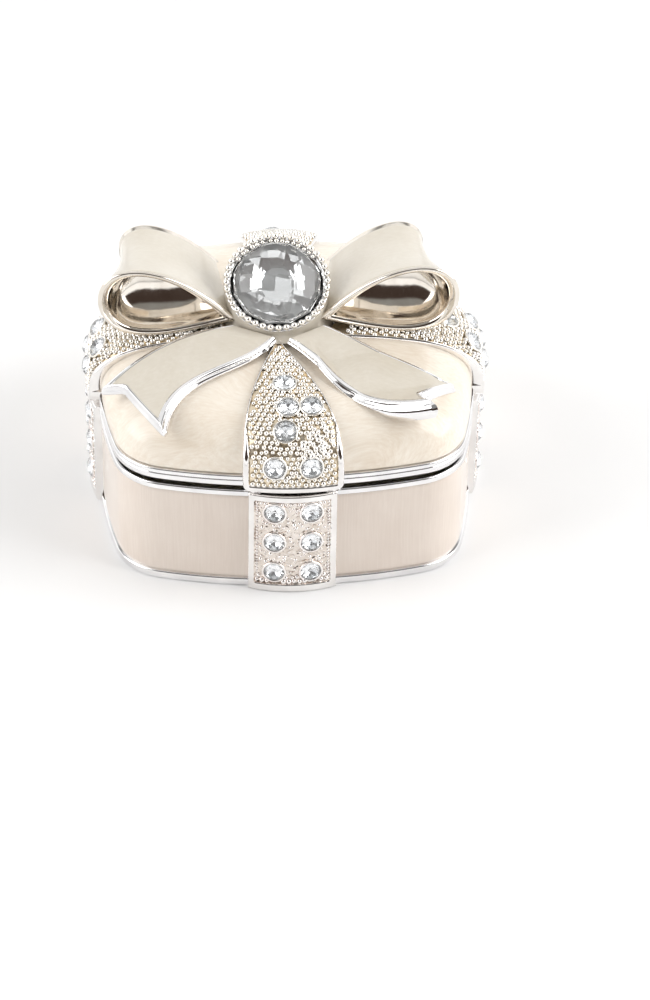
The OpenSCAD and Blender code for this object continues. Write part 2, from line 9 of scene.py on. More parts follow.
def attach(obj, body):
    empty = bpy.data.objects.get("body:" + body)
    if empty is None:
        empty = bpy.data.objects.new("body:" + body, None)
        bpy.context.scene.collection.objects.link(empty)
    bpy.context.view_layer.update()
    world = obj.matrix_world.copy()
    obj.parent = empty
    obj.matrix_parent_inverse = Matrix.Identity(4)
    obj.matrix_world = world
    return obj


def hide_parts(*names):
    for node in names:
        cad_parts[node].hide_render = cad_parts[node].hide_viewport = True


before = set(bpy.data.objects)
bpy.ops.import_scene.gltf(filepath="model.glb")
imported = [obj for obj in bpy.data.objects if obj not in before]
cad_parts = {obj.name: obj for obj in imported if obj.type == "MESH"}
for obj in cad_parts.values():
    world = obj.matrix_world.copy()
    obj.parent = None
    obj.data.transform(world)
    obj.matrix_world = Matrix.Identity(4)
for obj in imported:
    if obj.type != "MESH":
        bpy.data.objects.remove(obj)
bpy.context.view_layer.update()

# Every length below is in millimetres; make() turns them into metres.
MM = 0.001
DEG = math.pi / 180
QUARTER = math.pi / 2
rng = np.random.default_rng(11)
# smallest length that vectors are divided by
TINY = 1e-9
UP = (0.0, 0.0, 1.0)
# a smooth piece still shows an edge where its faces turn by more than this
SHARP_EDGE = 50 * DEG

# ---- driving dimensions, the same as the CAD model's ----

SIDE_HALF = 28.2
SIDE_RADIUS = 77.0
CORNER_RADIUS = 9.0
BASE_HEIGHT = 17.4
BASE_WALL = 1.7
FLOOR_TOP = 1.6
LID_Z = BASE_HEIGHT + 0.8
LID_BAND = 1.8
LID_WALL = 2.2
DOME_Z = LID_Z + LID_BAND - 0.3
DOME_RISE = 10.4
DOME_POWER = 2.8
RECESS = 0.9
ENAMEL_SINK = 0.32
BASE_RIBBON = 13.1
BASE_RIBBON_EDGE = 28.5
BASE_RIBBON_CROWN = 29.7
LID_RIBBON = 15.2
LID_RIBBON_EDGE = 29.1
LID_RIBBON_CROWN = 30.0
RIBBON_RISE = 1.2
RIBBON_RISE_INNER = 0.7
CRYSTAL_R = 1.5
CRYSTAL_PITCH = 5.44
CRYSTAL_HEIGHTS = (3.6, 9.0, 14.3)
FRONT_ROWS = ((0.993, (-2.7, 2.6)), (0.89, (-1.1,)), (0.765, (-0.6, 2.8)), (0.61, (-0.9,)))
SIDE_ROWS = ((0.993, (-2.7, 2.6)), (0.94, (-2.7, 2.6)), (0.81, (-0.6,)))
BACK_ROWS = ((0.993, (-2.7, 2.6)), (0.94, (0.9,)))
BOW_X = -1.4
LOOP_FRONT = 5.5
LOOP_BACK = 11.3
LOOP_DISH = 1.1
LOOP_PINCH = 0.3
LOOP_STRETCH = {-1: (1.015, 1.03), 1: (1.03, 1.0)}
# the deepest point of each loop's two hollows: distance out, height, depth from the mouth
HOLLOW_FRONT = (19.2, 37.4, 5.6)
HOLLOW_BACK = (17.0, 35.6, 3.6)
TAIL_THICKNESS = 1.6
KNOT = (BOW_X, -2.0, 36.0)
KNOT_TILT = 31.4 * DEG
STONE_R = 6.1
BEAD_CIRCLE_R = 7.4
BEAD_COUNT = 40
# rough grains tried on each base ribbon, and how close two of them may stand
ROUGH_GRAINS = 420
GRAIN_SPACING = 0.5
# room kept free of beads round each crystal, and the thickness of the ring that holds it
SEAT_MARGIN = 0.3
SEAT_RING = 0.2
# borders of a base ribbon: at its sides, its foot and its top
BASE_BORDER = 0.95
BASE_LIP = 1.25
BASE_RIM = 1.0
# foot border of a lid ribbon, and how far its sides drop below its middle on the dome
LID_LIP = 1.15
LID_CROWN = 0.6
MAGNET_Y = -22.5
BOSS_R = 3.25
WEB_HALF = 2.0
HINGE_Y = 30.9
HINGE_Z = 17.8
HINGE_CLEAR = 1.5
HINGE_HALF = 4.6

LOOP_FRONT_PROFILE = ((6.2, 31.9), (13, 30.1), (24.6, 26.1), (25.9, 34.9), (26.4, 42.1), (16.5, 43.5))
LOOP_BACK_PROFILE = ((8.4, 31.7), (14, 30.4), (21.8, 27.4), (22.4, 33.4), (23, 39.6), (15.9, 40.2))
LOOP_MIDDLE_FRONT = (19, 35.2)
LOOP_MIDDLE_BACK = (17, 34)
TAIL_LEFT_INNER = ((-1.9, -9.4, 31.3), (-7, -16.7, 30), (-17.2, -15.2, 30.2), (-18.7, -26.3, 27.6))
TAIL_LEFT_OUTER = ((-8.5, -6.5, 31.7), (-14, -7.5, 32), (-21, -10.5, 31.2), (-27.4, -15.5, 27.2))
TAIL_RIGHT_INNER = ((0, -9.8, 31.2), (5, -14.7, 30.1), (7, -22.5, 26), (19.8, -24.3, 30.6))
TAIL_RIGHT_OUTER = ((5.7, -6.5, 31.5), (12, -10, 30.6), (17, -13, 28.8), (24.2, -15.2, 26.4))

SIDES = ("right", "back", "left", "front")
LID_ROWS = (SIDE_ROWS, BACK_ROWS, SIDE_ROWS, FRONT_ROWS)
# half width of each lid ribbon at its foot, how much it narrows upward, and how far it leans to one side
LID_RIBBON_HALVES = (7.05, 6.7, 7.05, 7.35)
LID_RIBBON_TAPER = (0.0, 1.3, 0.0, 1.6)
LID_RIBBON_LEAN = (0.0, 0.0, 0.0, -2.2)
CORNERS = ("back_right", "back_left", "front_left", "front_right")


def arc_radius(half_chord, rise):
    """Radius of the arc with that rise over that half chord."""
    return (half_chord * half_chord + rise * rise) / (2 * rise)


SIDE_CENTRE = SIDE_HALF - SIDE_RADIUS
CORNER_CENTRE = (SIDE_CENTRE + math.sqrt(2 * (SIDE_RADIUS - CORNER_RADIUS) ** 2 - SIDE_CENTRE ** 2)) / 2
BLEND_ANGLE = math.atan2(CORNER_CENTRE, CORNER_CENTRE - SIDE_CENTRE)
BLEND_POLAR = math.atan2(
    SIDE_RADIUS * math.sin(BLEND_ANGLE), SIDE_CENTRE + SIDE_RADIUS * math.cos(BLEND_ANGLE))
BASE_RIBBON_R = arc_radius(BASE_RIBBON / 2, BASE_RIBBON_CROWN - BASE_RIBBON_EDGE)
BASE_RIBBON_HALF = BASE_RIBBON_R * math.asin(BASE_RIBBON / 2 / BASE_RIBBON_R)
LID_RIBBON_R = arc_radius(LID_RIBBON / 2, LID_RIBBON_CROWN - LID_RIBBON_EDGE)
RIBBON_POLAR = math.atan2(LID_RIBBON / 2, LID_RIBBON_EDGE)
RIBBON_EASE = 9 * DEG


# ---- shape functions ----

def mix(a, b, t):
    return a + (b - a) * t


def clamp(x, low=0.0, high=1.0):
    return np.minimum(high, np.maximum(low, x))


def smooth(x, low, high):
    t = clamp((x - low) / (high - low))
    return t * t * (3 - 2 * t)


def edge_roll(d, width):
    """How far a rounded edge of that width has fallen: 1 at the edge itself, 0 where the flat begins."""
    return 1 - np.sqrt(clamp(1 - (1 - clamp(d / width)) ** 2))


def half_round(d, width):
    """1 in the middle of a strip of that width, falling in a half circle to 0 at its edges."""
    return np.sqrt(clamp(1 - (2 * d / width - 1) ** 2))


def bezier(p, t):
    """Points at t on the cubic curve with the four control points p."""
    p = [np.asarray(q, float) for q in p]
    t = np.asarray(t, float)[..., None]
    return (p[0] * (1 - t) ** 3 + p[1] * 3 * t * (1 - t) ** 2 + p[2] * 3 * t * t * (1 - t) + p[3] * t ** 3)


def turned(points, angle):
    """Points turned about the box's upright axis."""
    c, s = math.cos(angle), math.sin(angle)
    out = np.array(points, float)
    out[..., 0] = points[..., 0] * c - points[..., 1] * s
    out[..., 1] = points[..., 0] * s + points[..., 1] * c
    return out


def on_side(points, k):
    """Points of the +X side moved round to side k."""
    return turned(points, k * QUARTER)


def fold(a):
    """Direction measured from the nearest side's middle."""
    return np.abs(a - QUARTER * np.round(a / QUARTER))


def circle_reach(a, cx, cy, r):
    """Distance from the origin to a circle, in the direction a."""
    along = cx * np.cos(a) + cy * np.sin(a)
    return along + np.sqrt(np.maximum(0, along * along - cx * cx - cy * cy + r * r))


def circle(count):
    """Angles of that many places evenly round a circle."""
    return np.arange(count) * 2 * math.pi / count


def raised(ring, z):
    """Plan points lifted to the height z."""
    return np.concatenate([ring, np.full((len(ring), 1), z)], 1)


def box_reach(a, inset=0.0):
    """Distance from the middle to the plan outline, less inset, in the direction a."""
    m = fold(a)
    side = circle_reach(m, SIDE_CENTRE, 0, SIDE_RADIUS - inset)
    corner = circle_reach(m, CORNER_CENTRE, CORNER_CENTRE, CORNER_RADIUS - inset)
    return np.where(m < BLEND_POLAR, side, corner)


def ribbon_reach(a):
    """Distance from the middle to the face of a lid ribbon, in the direction a."""
    return circle_reach(fold(a), LID_RIBBON_CROWN - LID_RIBBON_R, 0, LID_RIBBON_R)


def dome_share(s):
    """Height of the dome as a share of its rise, at a share of the reach."""
    return np.maximum(0, 1 - s ** DOME_POWER) ** (1 / DOME_POWER)


def rise_at(s):
    """How far a lid ribbon stands above the dome."""
    return mix(RIBBON_RISE_INNER, RIBBON_RISE, clamp((s - 0.6) / 0.3))


def polar(a, r, z):
    """Points at the direction a, the radius r and the height z."""
    a, r, z = np.broadcast_arrays(a, r, z)
    return np.stack([r * np.cos(a), r * np.sin(a), z], -1)


def dome_point(a, s, inset):
    """A point of the dome, less inset, in the direction a at a share of the reach."""
    return polar(a, box_reach(a, inset) * s, DOME_Z + (DOME_RISE - inset) * dome_share(s))


def ribbon_point(a, s):
    return polar(a, ribbon_reach(a) * s, DOME_Z + (DOME_RISE + rise_at(s)) * dome_share(s))


def lid_top(x, y, widen):
    """Height of the finished lid over a plan point. The ribbons ease into the enamel over RIBBON_EASE."""
    a = np.arctan2(y, x)
    r = np.hypot(x, y)
    on_ribbon = 1 - smooth(fold(a), RIBBON_POLAR + widen, RIBBON_POLAR + widen + RIBBON_EASE)
    s = np.minimum(1, r / mix(box_reach(a, ENAMEL_SINK), ribbon_reach(a), on_ribbon))
    return DOME_Z + (DOME_RISE + mix(-ENAMEL_SINK, rise_at(s), on_ribbon)) * dome_share(s)


def corner_outline(inset, cut, n=26):
    """One corner of the outline, from y = cut on the +X side to x = cut on the +Y side."""
    r = SIDE_RADIUS - inset
    half = np.linspace(math.asin(cut / r), BLEND_ANGLE, n)
    side = np.stack([SIDE_CENTRE + r * np.cos(half), r * np.sin(half)], -1)
    turn = np.linspace(BLEND_ANGLE, QUARTER - BLEND_ANGLE, n)[1:-1]
    corner = CORNER_CENTRE + (CORNER_RADIUS - inset) * np.stack([np.cos(turn), np.sin(turn)], -1)
    return np.concatenate([side, corner, side[::-1, ::-1]])


def outline(inset):
    """The plan outline without ribbons, as a closed ring of points."""
    quarter = corner_outline(inset, 0, 22)[1:]
    return np.concatenate([turned(quarter, k * QUARTER) for k in range(4)])


def rounded(path, steps=4):
    """Points of an open path whose corners, given as (a, b, radius), are rounded off."""
    pts = [np.array(p[:2], float) for p in path]
    out = [pts[0]]
    for i in range(1, len(path) - 1):
        reach = path[i][2]
        before = pts[i - 1] - pts[i]
        after = pts[i + 1] - pts[i]
        start = pts[i] + before * min(0.5, reach / np.linalg.norm(before))
        end = pts[i] + after * min(0.5, reach / np.linalg.norm(after))
        for t in np.linspace(0, 1, steps + 1):
            out.append(start * (1 - t) ** 2 + pts[i] * 2 * t * (1 - t) + end * t * t)
    out.append(pts[-1])
    return np.array(out)


# ---- mesh builders: each returns (points, list of face arrays) ----

def slab(top, bottom, bulge=0.0, steps=1):
    """Closed mesh between two matching grids of points, whose side walls swell outward by bulge."""
    rows, cols = top.shape[:2]
    n = rows * cols
    k = (np.arange(rows - 1)[:, None] * cols + np.arange(cols - 1)[None, :]).ravel()
    quads = np.stack([k, k + 1, k + cols + 1, k + cols], 1)
    ring = np.concatenate([
        np.arange(cols - 1), np.arange(rows - 1) * cols + cols - 1,
        (rows - 1) * cols + np.arange(cols - 1, 0, -1), np.arange(rows - 1, 0, -1) * cols])
    upper, lower = top.reshape(-1, 3), bottom.reshape(-1, 3)
    a, b = upper[ring], lower[ring]
    along = np.roll(a, -1, 0) - np.roll(a, 1, 0)
    outward = np.cross(along, a - b)
    outward /= np.maximum(TINY, np.linalg.norm(outward, axis=1, keepdims=True))
    if np.sum(outward * (a - a.mean(0))) < 0:
        outward = -outward
    swell = outward * np.broadcast_to(bulge, (rows, cols)).ravel()[ring][:, None]
    points, walls = [upper, lower], [ring]
    for i in range(1, steps):
        t = i / steps
        points.append(mix(a, b, t) + swell * math.sin(math.pi * t))
        walls.append(2 * n + (i - 1) * len(ring) + np.arange(len(ring)))
    walls.append(ring + n)
    faces = [quads, quads[:, ::-1] + n]
    for first, second in zip(walls, walls[1:]):
        faces.append(np.stack([first, second, np.roll(second, -1), np.roll(first, -1)], 1))
    return np.concatenate(points), faces


def lathe_like(rings, tips=None):
    """Mesh through closed rings of points. With tips, each end closes on its tip; without, it joins up."""
    rows, cols = rings.shape[:2]
    i = np.arange(rows if tips is None else rows - 1)[:, None]
    j = np.arange(cols)[None, :]
    a = (i * cols + j).ravel()
    b = (i * cols + (j + 1) % cols).ravel()
    c = ((i + 1) % rows * cols + (j + 1) % cols).ravel()
    d = ((i + 1) % rows * cols + j).ravel()
    points = rings.reshape(-1, 3)
    faces = [np.stack([a, b, c, d], 1)]
    if tips is not None:
        j = np.arange(cols)
        k = (j + 1) % cols
        last = (rows - 1) * cols
        points = np.concatenate([points, np.array(tips, float)])
        faces.append(np.stack([np.full(cols, rows * cols), k, j], 1))
        faces.append(np.stack([np.full(cols, rows * cols + 1), last + j, last + k], 1))
    return points, faces


def joined(*parts):
    """Several parts as one."""
    points, faces, start = [], [], 0
    for p, f in parts:
        points.append(p)
        faces.extend(g + start for g in f)
        start += len(p)
    return np.concatenate(points), faces


def moved(part, place):
    """A part whose points have been put in place by a function."""
    return place(part[0]), part[1]


def bases(normals):
    """Two unit vectors across each normal."""
    n = normals / np.linalg.norm(normals, axis=-1, keepdims=True)
    helper = np.where(np.abs(n[:, 2:3]) < 0.9, np.array([[0, 0, 1.0]]), np.array([[0, 1.0, 0]]))
    u = np.cross(helper, n)
    u /= np.linalg.norm(u, axis=-1, keepdims=True)
    return u, np.cross(n, u), n


def scattered(template, places, normals, sizes=1.0, spins=None):
    """One copy of a template part at each place, with its +Z along the normal."""
    points, faces = template
    u, v, n = bases(np.asarray(normals, float))
    if spins is not None:
        c, s = np.cos(spins)[:, None], np.sin(spins)[:, None]
        u, v = u * c + v * s, v * c - u * s
    sizes = np.asarray(sizes, float).reshape(-1, 1, 1)
    local = points[None, :, :] * sizes
    out = (local[:, :, 0:1] * u[:, None] + local[:, :, 1:2] * v[:, None] + local[:, :, 2:3] * n[:, None]
           + np.asarray(places, float)[:, None, :])
    count, size = len(out), len(points)
    starts = np.arange(count)[:, None, None] * size
    return out.reshape(-1, 3), [(f[None] + starts).reshape(-1, f.shape[1]) for f in faces]


def bead_template(segments, latitudes, foot):
    """A unit bead, closed underneath at the height foot."""
    lat = np.array(latitudes)[:, None] * DEG
    rings = polar(circle(segments), np.cos(lat), np.sin(lat))
    return lathe_like(rings, tips=((0, 0, 1), (0, 0, foot)))


def ring_template(major, minor):
    """A thin round ring, the seat of a crystal."""
    across = circle(8)[:, None]
    return lathe_like(polar(circle(28), major + minor * np.cos(across), minor * np.sin(across)))


BEAD = bead_template(8, (62, 28, -8), -0.45)
FINE_BEAD = bead_template(14, (72, 50, 28, 6, -18, -45, -72), -1)


def brilliant(table, crown, girdle, depth):
    """A faceted unit stone: table, star, kite and girdle facets over a pavilion."""
    n = 8
    step = 2 * math.pi / n
    k = np.arange(n)
    g = np.arange(2 * n)
    points = np.concatenate([
        polar(k * step, table, crown), polar((k + 0.5) * step, mix(table, 1, 0.55), crown * 0.62),
        polar(g * step / 2, 1.0, girdle), polar(g * step / 2, 1.0, -girdle), np.array([[0, 0, -depth]])])
    star, top, low, tip = n, 2 * n, 4 * n, 6 * n
    nxt = (k + 1) % n
    tris = [
        np.stack([k, nxt, star + k], 1),
        np.stack([k, star + k, top + 2 * k], 1),
        np.stack([k, top + 2 * k, star + (k - 1) % n], 1),
        np.stack([star + k, top + 2 * k + 1, top + 2 * k], 1),
        np.stack([star + k, top + (2 * k + 2) % (2 * n), top + 2 * k + 1], 1),
        np.stack([low + g, low + (g + 1) % (2 * n), np.full(2 * n, tip)], 1)]
    sides = np.stack([top + g, top + (g + 1) % (2 * n), low + (g + 1) % (2 * n), low + g], 1)
    return points, tris + [sides, k[None, :]]


def cup(radius, depth, wall, sides, lip):
    """A thin faceted cup that opens upward from its rim at z = lip."""
    rings = polar(circle(sides), np.array([[radius + wall], [radius]]), lip)
    return lathe_like(rings, tips=((0, 0, lip - depth - wall), (0, 0, lip - depth)))


def hinge_notch(points, k):
    """Points of the back's ribbons moved clear of the hinge barrel."""
    if SIDES[k] != "back":
        return points
    away = points[:, 1:] - (HINGE_Y, HINGE_Z)
    reach = np.linalg.norm(away, axis=1)
    near = (reach < HINGE_CLEAR) & (np.abs(points[:, 0]) < HINGE_HALF)
    out = np.array(points)
    out[near, 1:] = (HINGE_Y, HINGE_Z) + away[near] * (HINGE_CLEAR / reach[near])[:, None]
    return out


def clear_of_hinge(points, k):
    """Which beads of the ribbon on side k leave the hinge free."""
    if SIDES[k] != "back":
        return np.ones(len(points), bool)
    points = on_side(points, k)
    bead = 0.45
    reach = np.hypot(points[:, 1] - HINGE_Y, points[:, 2] - HINGE_Z)
    return (reach > HINGE_CLEAR + bead) | (np.abs(points[:, 0]) > HINGE_HALF + bead)


def upward_normals(grid):
    """Unit normals of a grid of points, on the side that faces up."""
    n = np.cross(np.gradient(grid, axis=1), np.gradient(grid, axis=0))
    n = n / np.maximum(TINY, np.linalg.norm(n, axis=-1, keepdims=True))
    return n * np.sign(n[..., 2:3])


def make(name, body, part, material, replaces=(), flat=False, inlay=None):
    """A finished piece from a part in millimetres.

    An inlay is a second material and a mask of the faces that it covers.
    """
    points, faces = part
    mesh = bpy.data.meshes.new(name)
    mesh.from_pydata((np.asarray(points) * MM).tolist(), [], [f for g in faces for f in g.tolist()])
    if inlay:
        index = np.zeros(len(mesh.polygons), np.int32)
        index[:inlay[1].size] = inlay[1].ravel()
        mesh.polygons.foreach_set("material_index", index)
    mesh.validate()
    bm = bmesh.new()
    bm.from_mesh(mesh)
    bmesh.ops.recalc_face_normals(bm, faces=bm.faces)
    for face in bm.faces:
        face.smooth = not flat
    bm.to_mesh(mesh)
    bm.free()
    if not flat:
        mesh.set_sharp_from_angle(angle=SHARP_EDGE)
    piece = bpy.data.objects.new(name, mesh)
    bpy.context.scene.collection.objects.link(piece)
    mesh.materials.append(material)
    if inlay:
        mesh.materials.append(inlay[0])
    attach(piece, body)
    if replaces:
        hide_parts(*replaces)


# ---- materials ----

# the colour sockets of a Mix node, which shares their names with its number and vector sockets
MIX_A = 6
MIX_B = 7
MIX_RESULT = 2


def linear(r, g, b):
    """A colour in the shader's own values from display values of 0 to 255."""
    shares = [c / 255 for c in (r, g, b)]
    return tuple(c / 12.92 if c <= 0.04045 else ((c + 0.055) / 1.055) ** 2.4 for c in shares) + (1.0,)


class Nodes:
    """A short way to write the nodes of a material or of the world."""

    def __init__(self, block, shader="Principled BSDF"):
        block.use_nodes = True
        self.block = block
        self.tree = block.node_tree
        self.shader = self.tree.nodes[shader]

    def add(self, kind, **values):
        node = self.tree.nodes.new(kind)
        for key, value in values.items():
            if key in node.inputs:
                node.inputs[key].default_value = value
            else:
                setattr(node, key, value)
        return node

    def link(self, source, output, target, socket):
        self.tree.links.new(source.outputs[output], target.inputs[socket])

    def place(self):
        """The place on the piece, in metres."""
        where = self.add("ShaderNodeTexCoord")
        mapping = self.add("ShaderNodeMapping")
        self.link(where, "Object", mapping, "Vector")
        return mapping

    def noise(self, where, scale, detail=3.0, rough=0.5):
        node = self.add("ShaderNodeTexNoise", Scale=scale, Detail=detail, Roughness=rough)
        self.link(where, "Vector", node, "Vector")
        return node

    def ramp(self, source, output, stops):
        """Colours at (value, colour) stops, with even shades between them."""
        node = self.add("ShaderNodeValToRGB")
        elements = node.color_ramp.elements
        for i, (at, colour) in enumerate(stops):
            stop = elements[i] if i < 2 else elements.new(at)
            stop.position = at
            stop.color = colour
        self.link(source, output, node, "Fac")
        return node

    def blend(self, first, second):
        """A mix of two ramps, whose factor the caller sets or links."""
        node = self.add("ShaderNodeMix", data_type="RGBA")
        self.link(first, "Color", node, MIX_A)
        self.link(second, "Color", node, MIX_B)
        return node

    def range(self, source, low, high, socket):
        """A noise spread from low to high on a socket of the shader."""
        node = self.add("ShaderNodeMapRange")
        node.inputs["To Min"].default_value = low
        node.inputs["To Max"].default_value = high
        self.link(source, "Fac", node, "Value")
        self.link(node, "Result", self.shader, socket)

    def bump(self, source, distance):
        node = self.add("ShaderNodeBump", Strength=1.0, Distance=distance)
        self.link(source, "Fac", node, "Height")
        self.link(node, "Normal", self.shader, "Normal")

    def set(self, **values):
        for key, value in values.items():
            self.shader.inputs[key.replace("_", " ")].default_value = value


def metal(name, dark, light, rough, grain, relief, wave=260.0, metallic=1.0):
    """Plated metal: colour drifts between two tones, with faint scuffs and a soft waviness."""
    m = Nodes(bpy.data.materials.new(name))
    where = m.place()
    drift = m.noise(where, wave, 2.0)
    scuff = m.noise(where, grain, 4.0, 0.6)
    tone = m.ramp(drift, "Fac", ((0.3, linear(*dark)), (0.7, linear(*light))))
    m.link(tone, "Color", m.shader, "Base Color")
    m.range(scuff, rough[0], rough[1], "Roughness")
    m.bump(drift, relief)
    m.set(Metallic=metallic)
    return m.block


def enamel(name, colours, strokes, bend, relief):
    """Pearl enamel: fine brush strokes of near colours that swirl under a clear coat."""
    low, middle, high = [linear(*colour) for colour in colours]
    m = Nodes(bpy.data.materials.new(name))
    where = m.place()
    drift = m.noise(where, 60.0, 1.0)
    centred = m.add("ShaderNodeVectorMath", operation="SUBTRACT")
    centred.inputs[1].default_value = (0.5, 0.5, 0.5)
    m.link(drift, "Color", centred, 0)
    sized = m.add("ShaderNodeVectorMath", operation="SCALE", Scale=bend)
    m.link(centred, "Vector", sized, 0)
    bent = m.add("ShaderNodeVectorMath", operation="ADD")
    m.link(where, "Vector", bent, 0)
    m.link(sized, "Vector", bent, 1)
    drawn = m.add("ShaderNodeMapping", Scale=strokes)
    m.link(bent, "Vector", drawn, "Vector")
    stroke = m.noise(drawn, 1000.0, 4.0, 0.65)
    cloud = m.noise(bent, 130.0, 3.0)
    tone = m.ramp(stroke, "Fac", ((0.32, low), (0.5, middle), (0.68, high)))
    shade = m.ramp(cloud, "Fac", ((0.35, low), (0.65, high)))
    colour = m.blend(tone, shade)
    colour.inputs["Factor"].default_value = 0.45
    m.link(colour, MIX_RESULT, m.shader, "Base Color")
    m.range(stroke, 0.3, 0.42, "Roughness")
    m.bump(stroke, relief)
    m.set(Coat_Weight=0.7, Coat_Roughness=0.1, Coat_IOR=1.5)
    return m.block


def glass(name, tint):
    """Clear cut glass with a faint tint and a polish that varies a little."""
    m = Nodes(bpy.data.materials.new(name))
    polish = m.noise(m.place(), 900.0, 3.0)
    m.range(polish, 0.0, 0.02, "Roughness")
    tone = m.ramp(polish, "Fac", ((0.2, tint), (0.8, (1, 1, 1, 1))))
    m.link(tone, "Color", m.shader, "Base Color")
    m.set(Transmission_Weight=1.0, IOR=1.55)
    return m.block


# darker and lighter tone, roughness between, size of the scuffs, height of the waves
SILVER = metal("plated_silver", (232, 231, 232), (248, 247, 247), (0.05, 0.13), 1500.0, 0.00001)
RIM_SILVER = metal("ribbon_border", (234, 231, 229), (248, 246, 244), (0.06, 0.14), 1500.0, 0.00002)
# the loops' silver is a darker, warmer copy of the plating: painted shade for the loops' hollows
LOOP_SHADED_SILVER = metal("loop_silver_painted_shade", (224, 216, 205), (238, 232, 223), (0.06, 0.14), 1100.0, 0.00003, 420.0)
BEAD_SILVER = metal("bead_silver", (246, 241, 233), (254, 252, 249), (0.12, 0.24), 1500.0, 0.00001)
BASE_BEAD_SILVER = metal("base_beads", (240, 232, 228), (252, 249, 247), (0.07, 0.18), 1500.0, 0.00001)
# the lid ribbons' field is a darker, warmer copy of the silver: painted shade in the recess between the
# beads
FIELD_SILVER_SHADED = metal("ribbon_field_painted_shade", (232, 214, 182), (246, 234, 214), (0.25, 0.4), 1600.0, 0.00006, 900.0)
# the base ribbons' field is a darker, warmer copy of the silver: painted shade in the sunk, hammered field
BASE_FIELD_SHADED = metal("base_ribbon_field", (214, 203, 193), (238, 230, 223), (0.1, 0.22), 1600.0, 0.0004, 900.0)
HINGE_METAL = metal("hinge_metal", (196, 192, 186), (226, 224, 220), (0.16, 0.34), 2200.0, 0.00002)
MAGNET = metal("magnet", (150, 150, 152), (190, 190, 192), (0.2, 0.4), 2600.0, 0.00002)
FOIL = metal("foil", (236, 237, 236), (252, 252, 252), (0.02, 0.06), 1800.0, 0.0, metallic=0.72)
# three near colours, how the strokes are drawn out, how far they swirl, their height
BASE_ENAMEL = enamel(
    "base_enamel", ((220, 206, 194), (225, 212, 200), (231, 219, 208)), (4.0, 4.0, 0.12), 0.0012, 0.000004)
LID_ENAMEL = enamel(
    "lid_enamel", ((229, 214, 194), (239, 227, 210), (249, 241, 228)), (0.5, 3.0, 1.6), 0.014, 0.000006)
BOW_ENAMEL = enamel(
    "bow_enamel", ((210, 201, 185), (215, 207, 192), (221, 214, 201)), (1.0, 2.0, 1.0), 0.01, 0.000004)
INNER_ENAMEL = enamel(
    "inner_enamel", ((226, 216, 190), (234, 226, 203), (243, 238, 222)), (3.0, 0.4, 2.0), 0.01, 0.00001)
CRYSTAL_GLASS = glass("crystal_glass", (0.93, 0.96, 1, 1))
STONE_GLASS = glass("stone_glass", (0.97, 0.985, 1, 1))


# ---- pieces that the base and the lid have in common ----

def enamel_panel(body, k, top, under, material):
    """The enamel of one corner, between its top and its underside."""
    corner = "%s_enamel_%s" % (body, CORNERS[k])
    name = "%s_enamel_panel_%s" % (body, CORNERS[k])
    make(name, body, slab(top, under), material, (corner,))


def ribbon_band(body, k, front, back, silver, field):
    """A ribbon's band, whose sunk field takes a darker, warmer silver than its borders: painted shade in the
    recess.
    """
    band = moved(slab(front, back), lambda p: hinge_notch(on_side(p, k), k))
    make("%s_ribbon_%s" % (body, SIDES[k]), body, band, RIM_SILVER, inlay=(silver, field))


def ribbon_trim(body, k, grains, silver, seats, ring_gap, lift=0.0):
    """A ribbon's beads and its crystals, which stand out of their seats by lift in thin, sunk rings."""
    points, normals = seats
    ring = ring_template(CRYSTAL_R + ring_gap, SEAT_RING)
    rings = scattered(ring, points - normals * SEAT_RING, normals)
    trim = moved(joined(grains[0], rings, *grains[1:]), lambda p: on_side(p, k))
    make("%s_ribbon_beads_%s" % (body, SIDES[k]), body, trim, silver)
    places = on_side(points + normals * lift, k)
    set_crystals("%s_crystals_%s" % (body, SIDES[k]), body, places, on_side(normals, k))


def set_crystals(node, body, places, normals):
    """Small round crystals, each over its own bright foil cup."""
    spins = rng.uniform(0, 1, len(places))
    stone_shape = brilliant(table=0.56, crown=0.36, girdle=0.03, depth=0.62)
    stones = scattered(stone_shape, places, normals, CRYSTAL_R, spins)
    make(node + "_cut", body, stones, CRYSTAL_GLASS, (node,), flat=True)
    cup_shape = cup(radius=0.99, depth=0.66, wall=0.05, sides=8, lip=-0.03)
    foils = scattered(cup_shape, places, normals, CRYSTAL_R, spins + 0.2)
    make(node + "_foil", body, foils, FOIL, flat=True)


# ---- base ----

def swept(path):
    """Rings of the plan outline at each (inset, height) of a path."""
    return np.stack([raised(outline(inset), z) for inset, z in path])


def base_shell():
    """Foot, recessed wall, rim and inside of the base, as one section swept round the outline."""
    foot, rim, step, hollow = 1.25, BASE_HEIGHT - 1.0, 0.75, 0.35
    path = rounded((
        (3.4, hollow, 0), (2.5, hollow, 0.1), (2.2, 0, 0.15), (0, 0, 0.35),
        (0, foot, 0.25), (step, foot + 0.2, 0.1), (step, rim - 0.2, 0.1), (0, rim, 0.25),
        (0, BASE_HEIGHT, 0.4), (BASE_WALL, BASE_HEIGHT, 0.4), (BASE_WALL, 3.0, 0.4),
        (BASE_WALL + 2, FLOOR_TOP, 0)))
    shell = lathe_like(swept(path), tips=((0, 0, hollow), (0, 0, FLOOR_TOP)))
    make("base_shell", "base", shell, SILVER, ("base_casting",))


def base_lining():
    """The enamel skin inside the base."""
    floor, skin = FLOOR_TOP + 0.03, 0.32
    top = BASE_HEIGHT - 0.55
    outer, inner, middle = BASE_WALL + 0.02, BASE_WALL + skin, 6
    path = rounded((
        (middle, floor, 0), (outer, floor, 2.4), (outer, top, 0.05),
        (inner, top - 0.25, 0.15), (inner, floor + skin, 2.2), (middle, floor + skin, 0)), 8)
    lining = lathe_like(swept(path), tips=((0, 0, floor), (0, 0, floor + skin)))
    make("base_lining_enamel", "base", lining, INNER_ENAMEL, ("base_lining",))


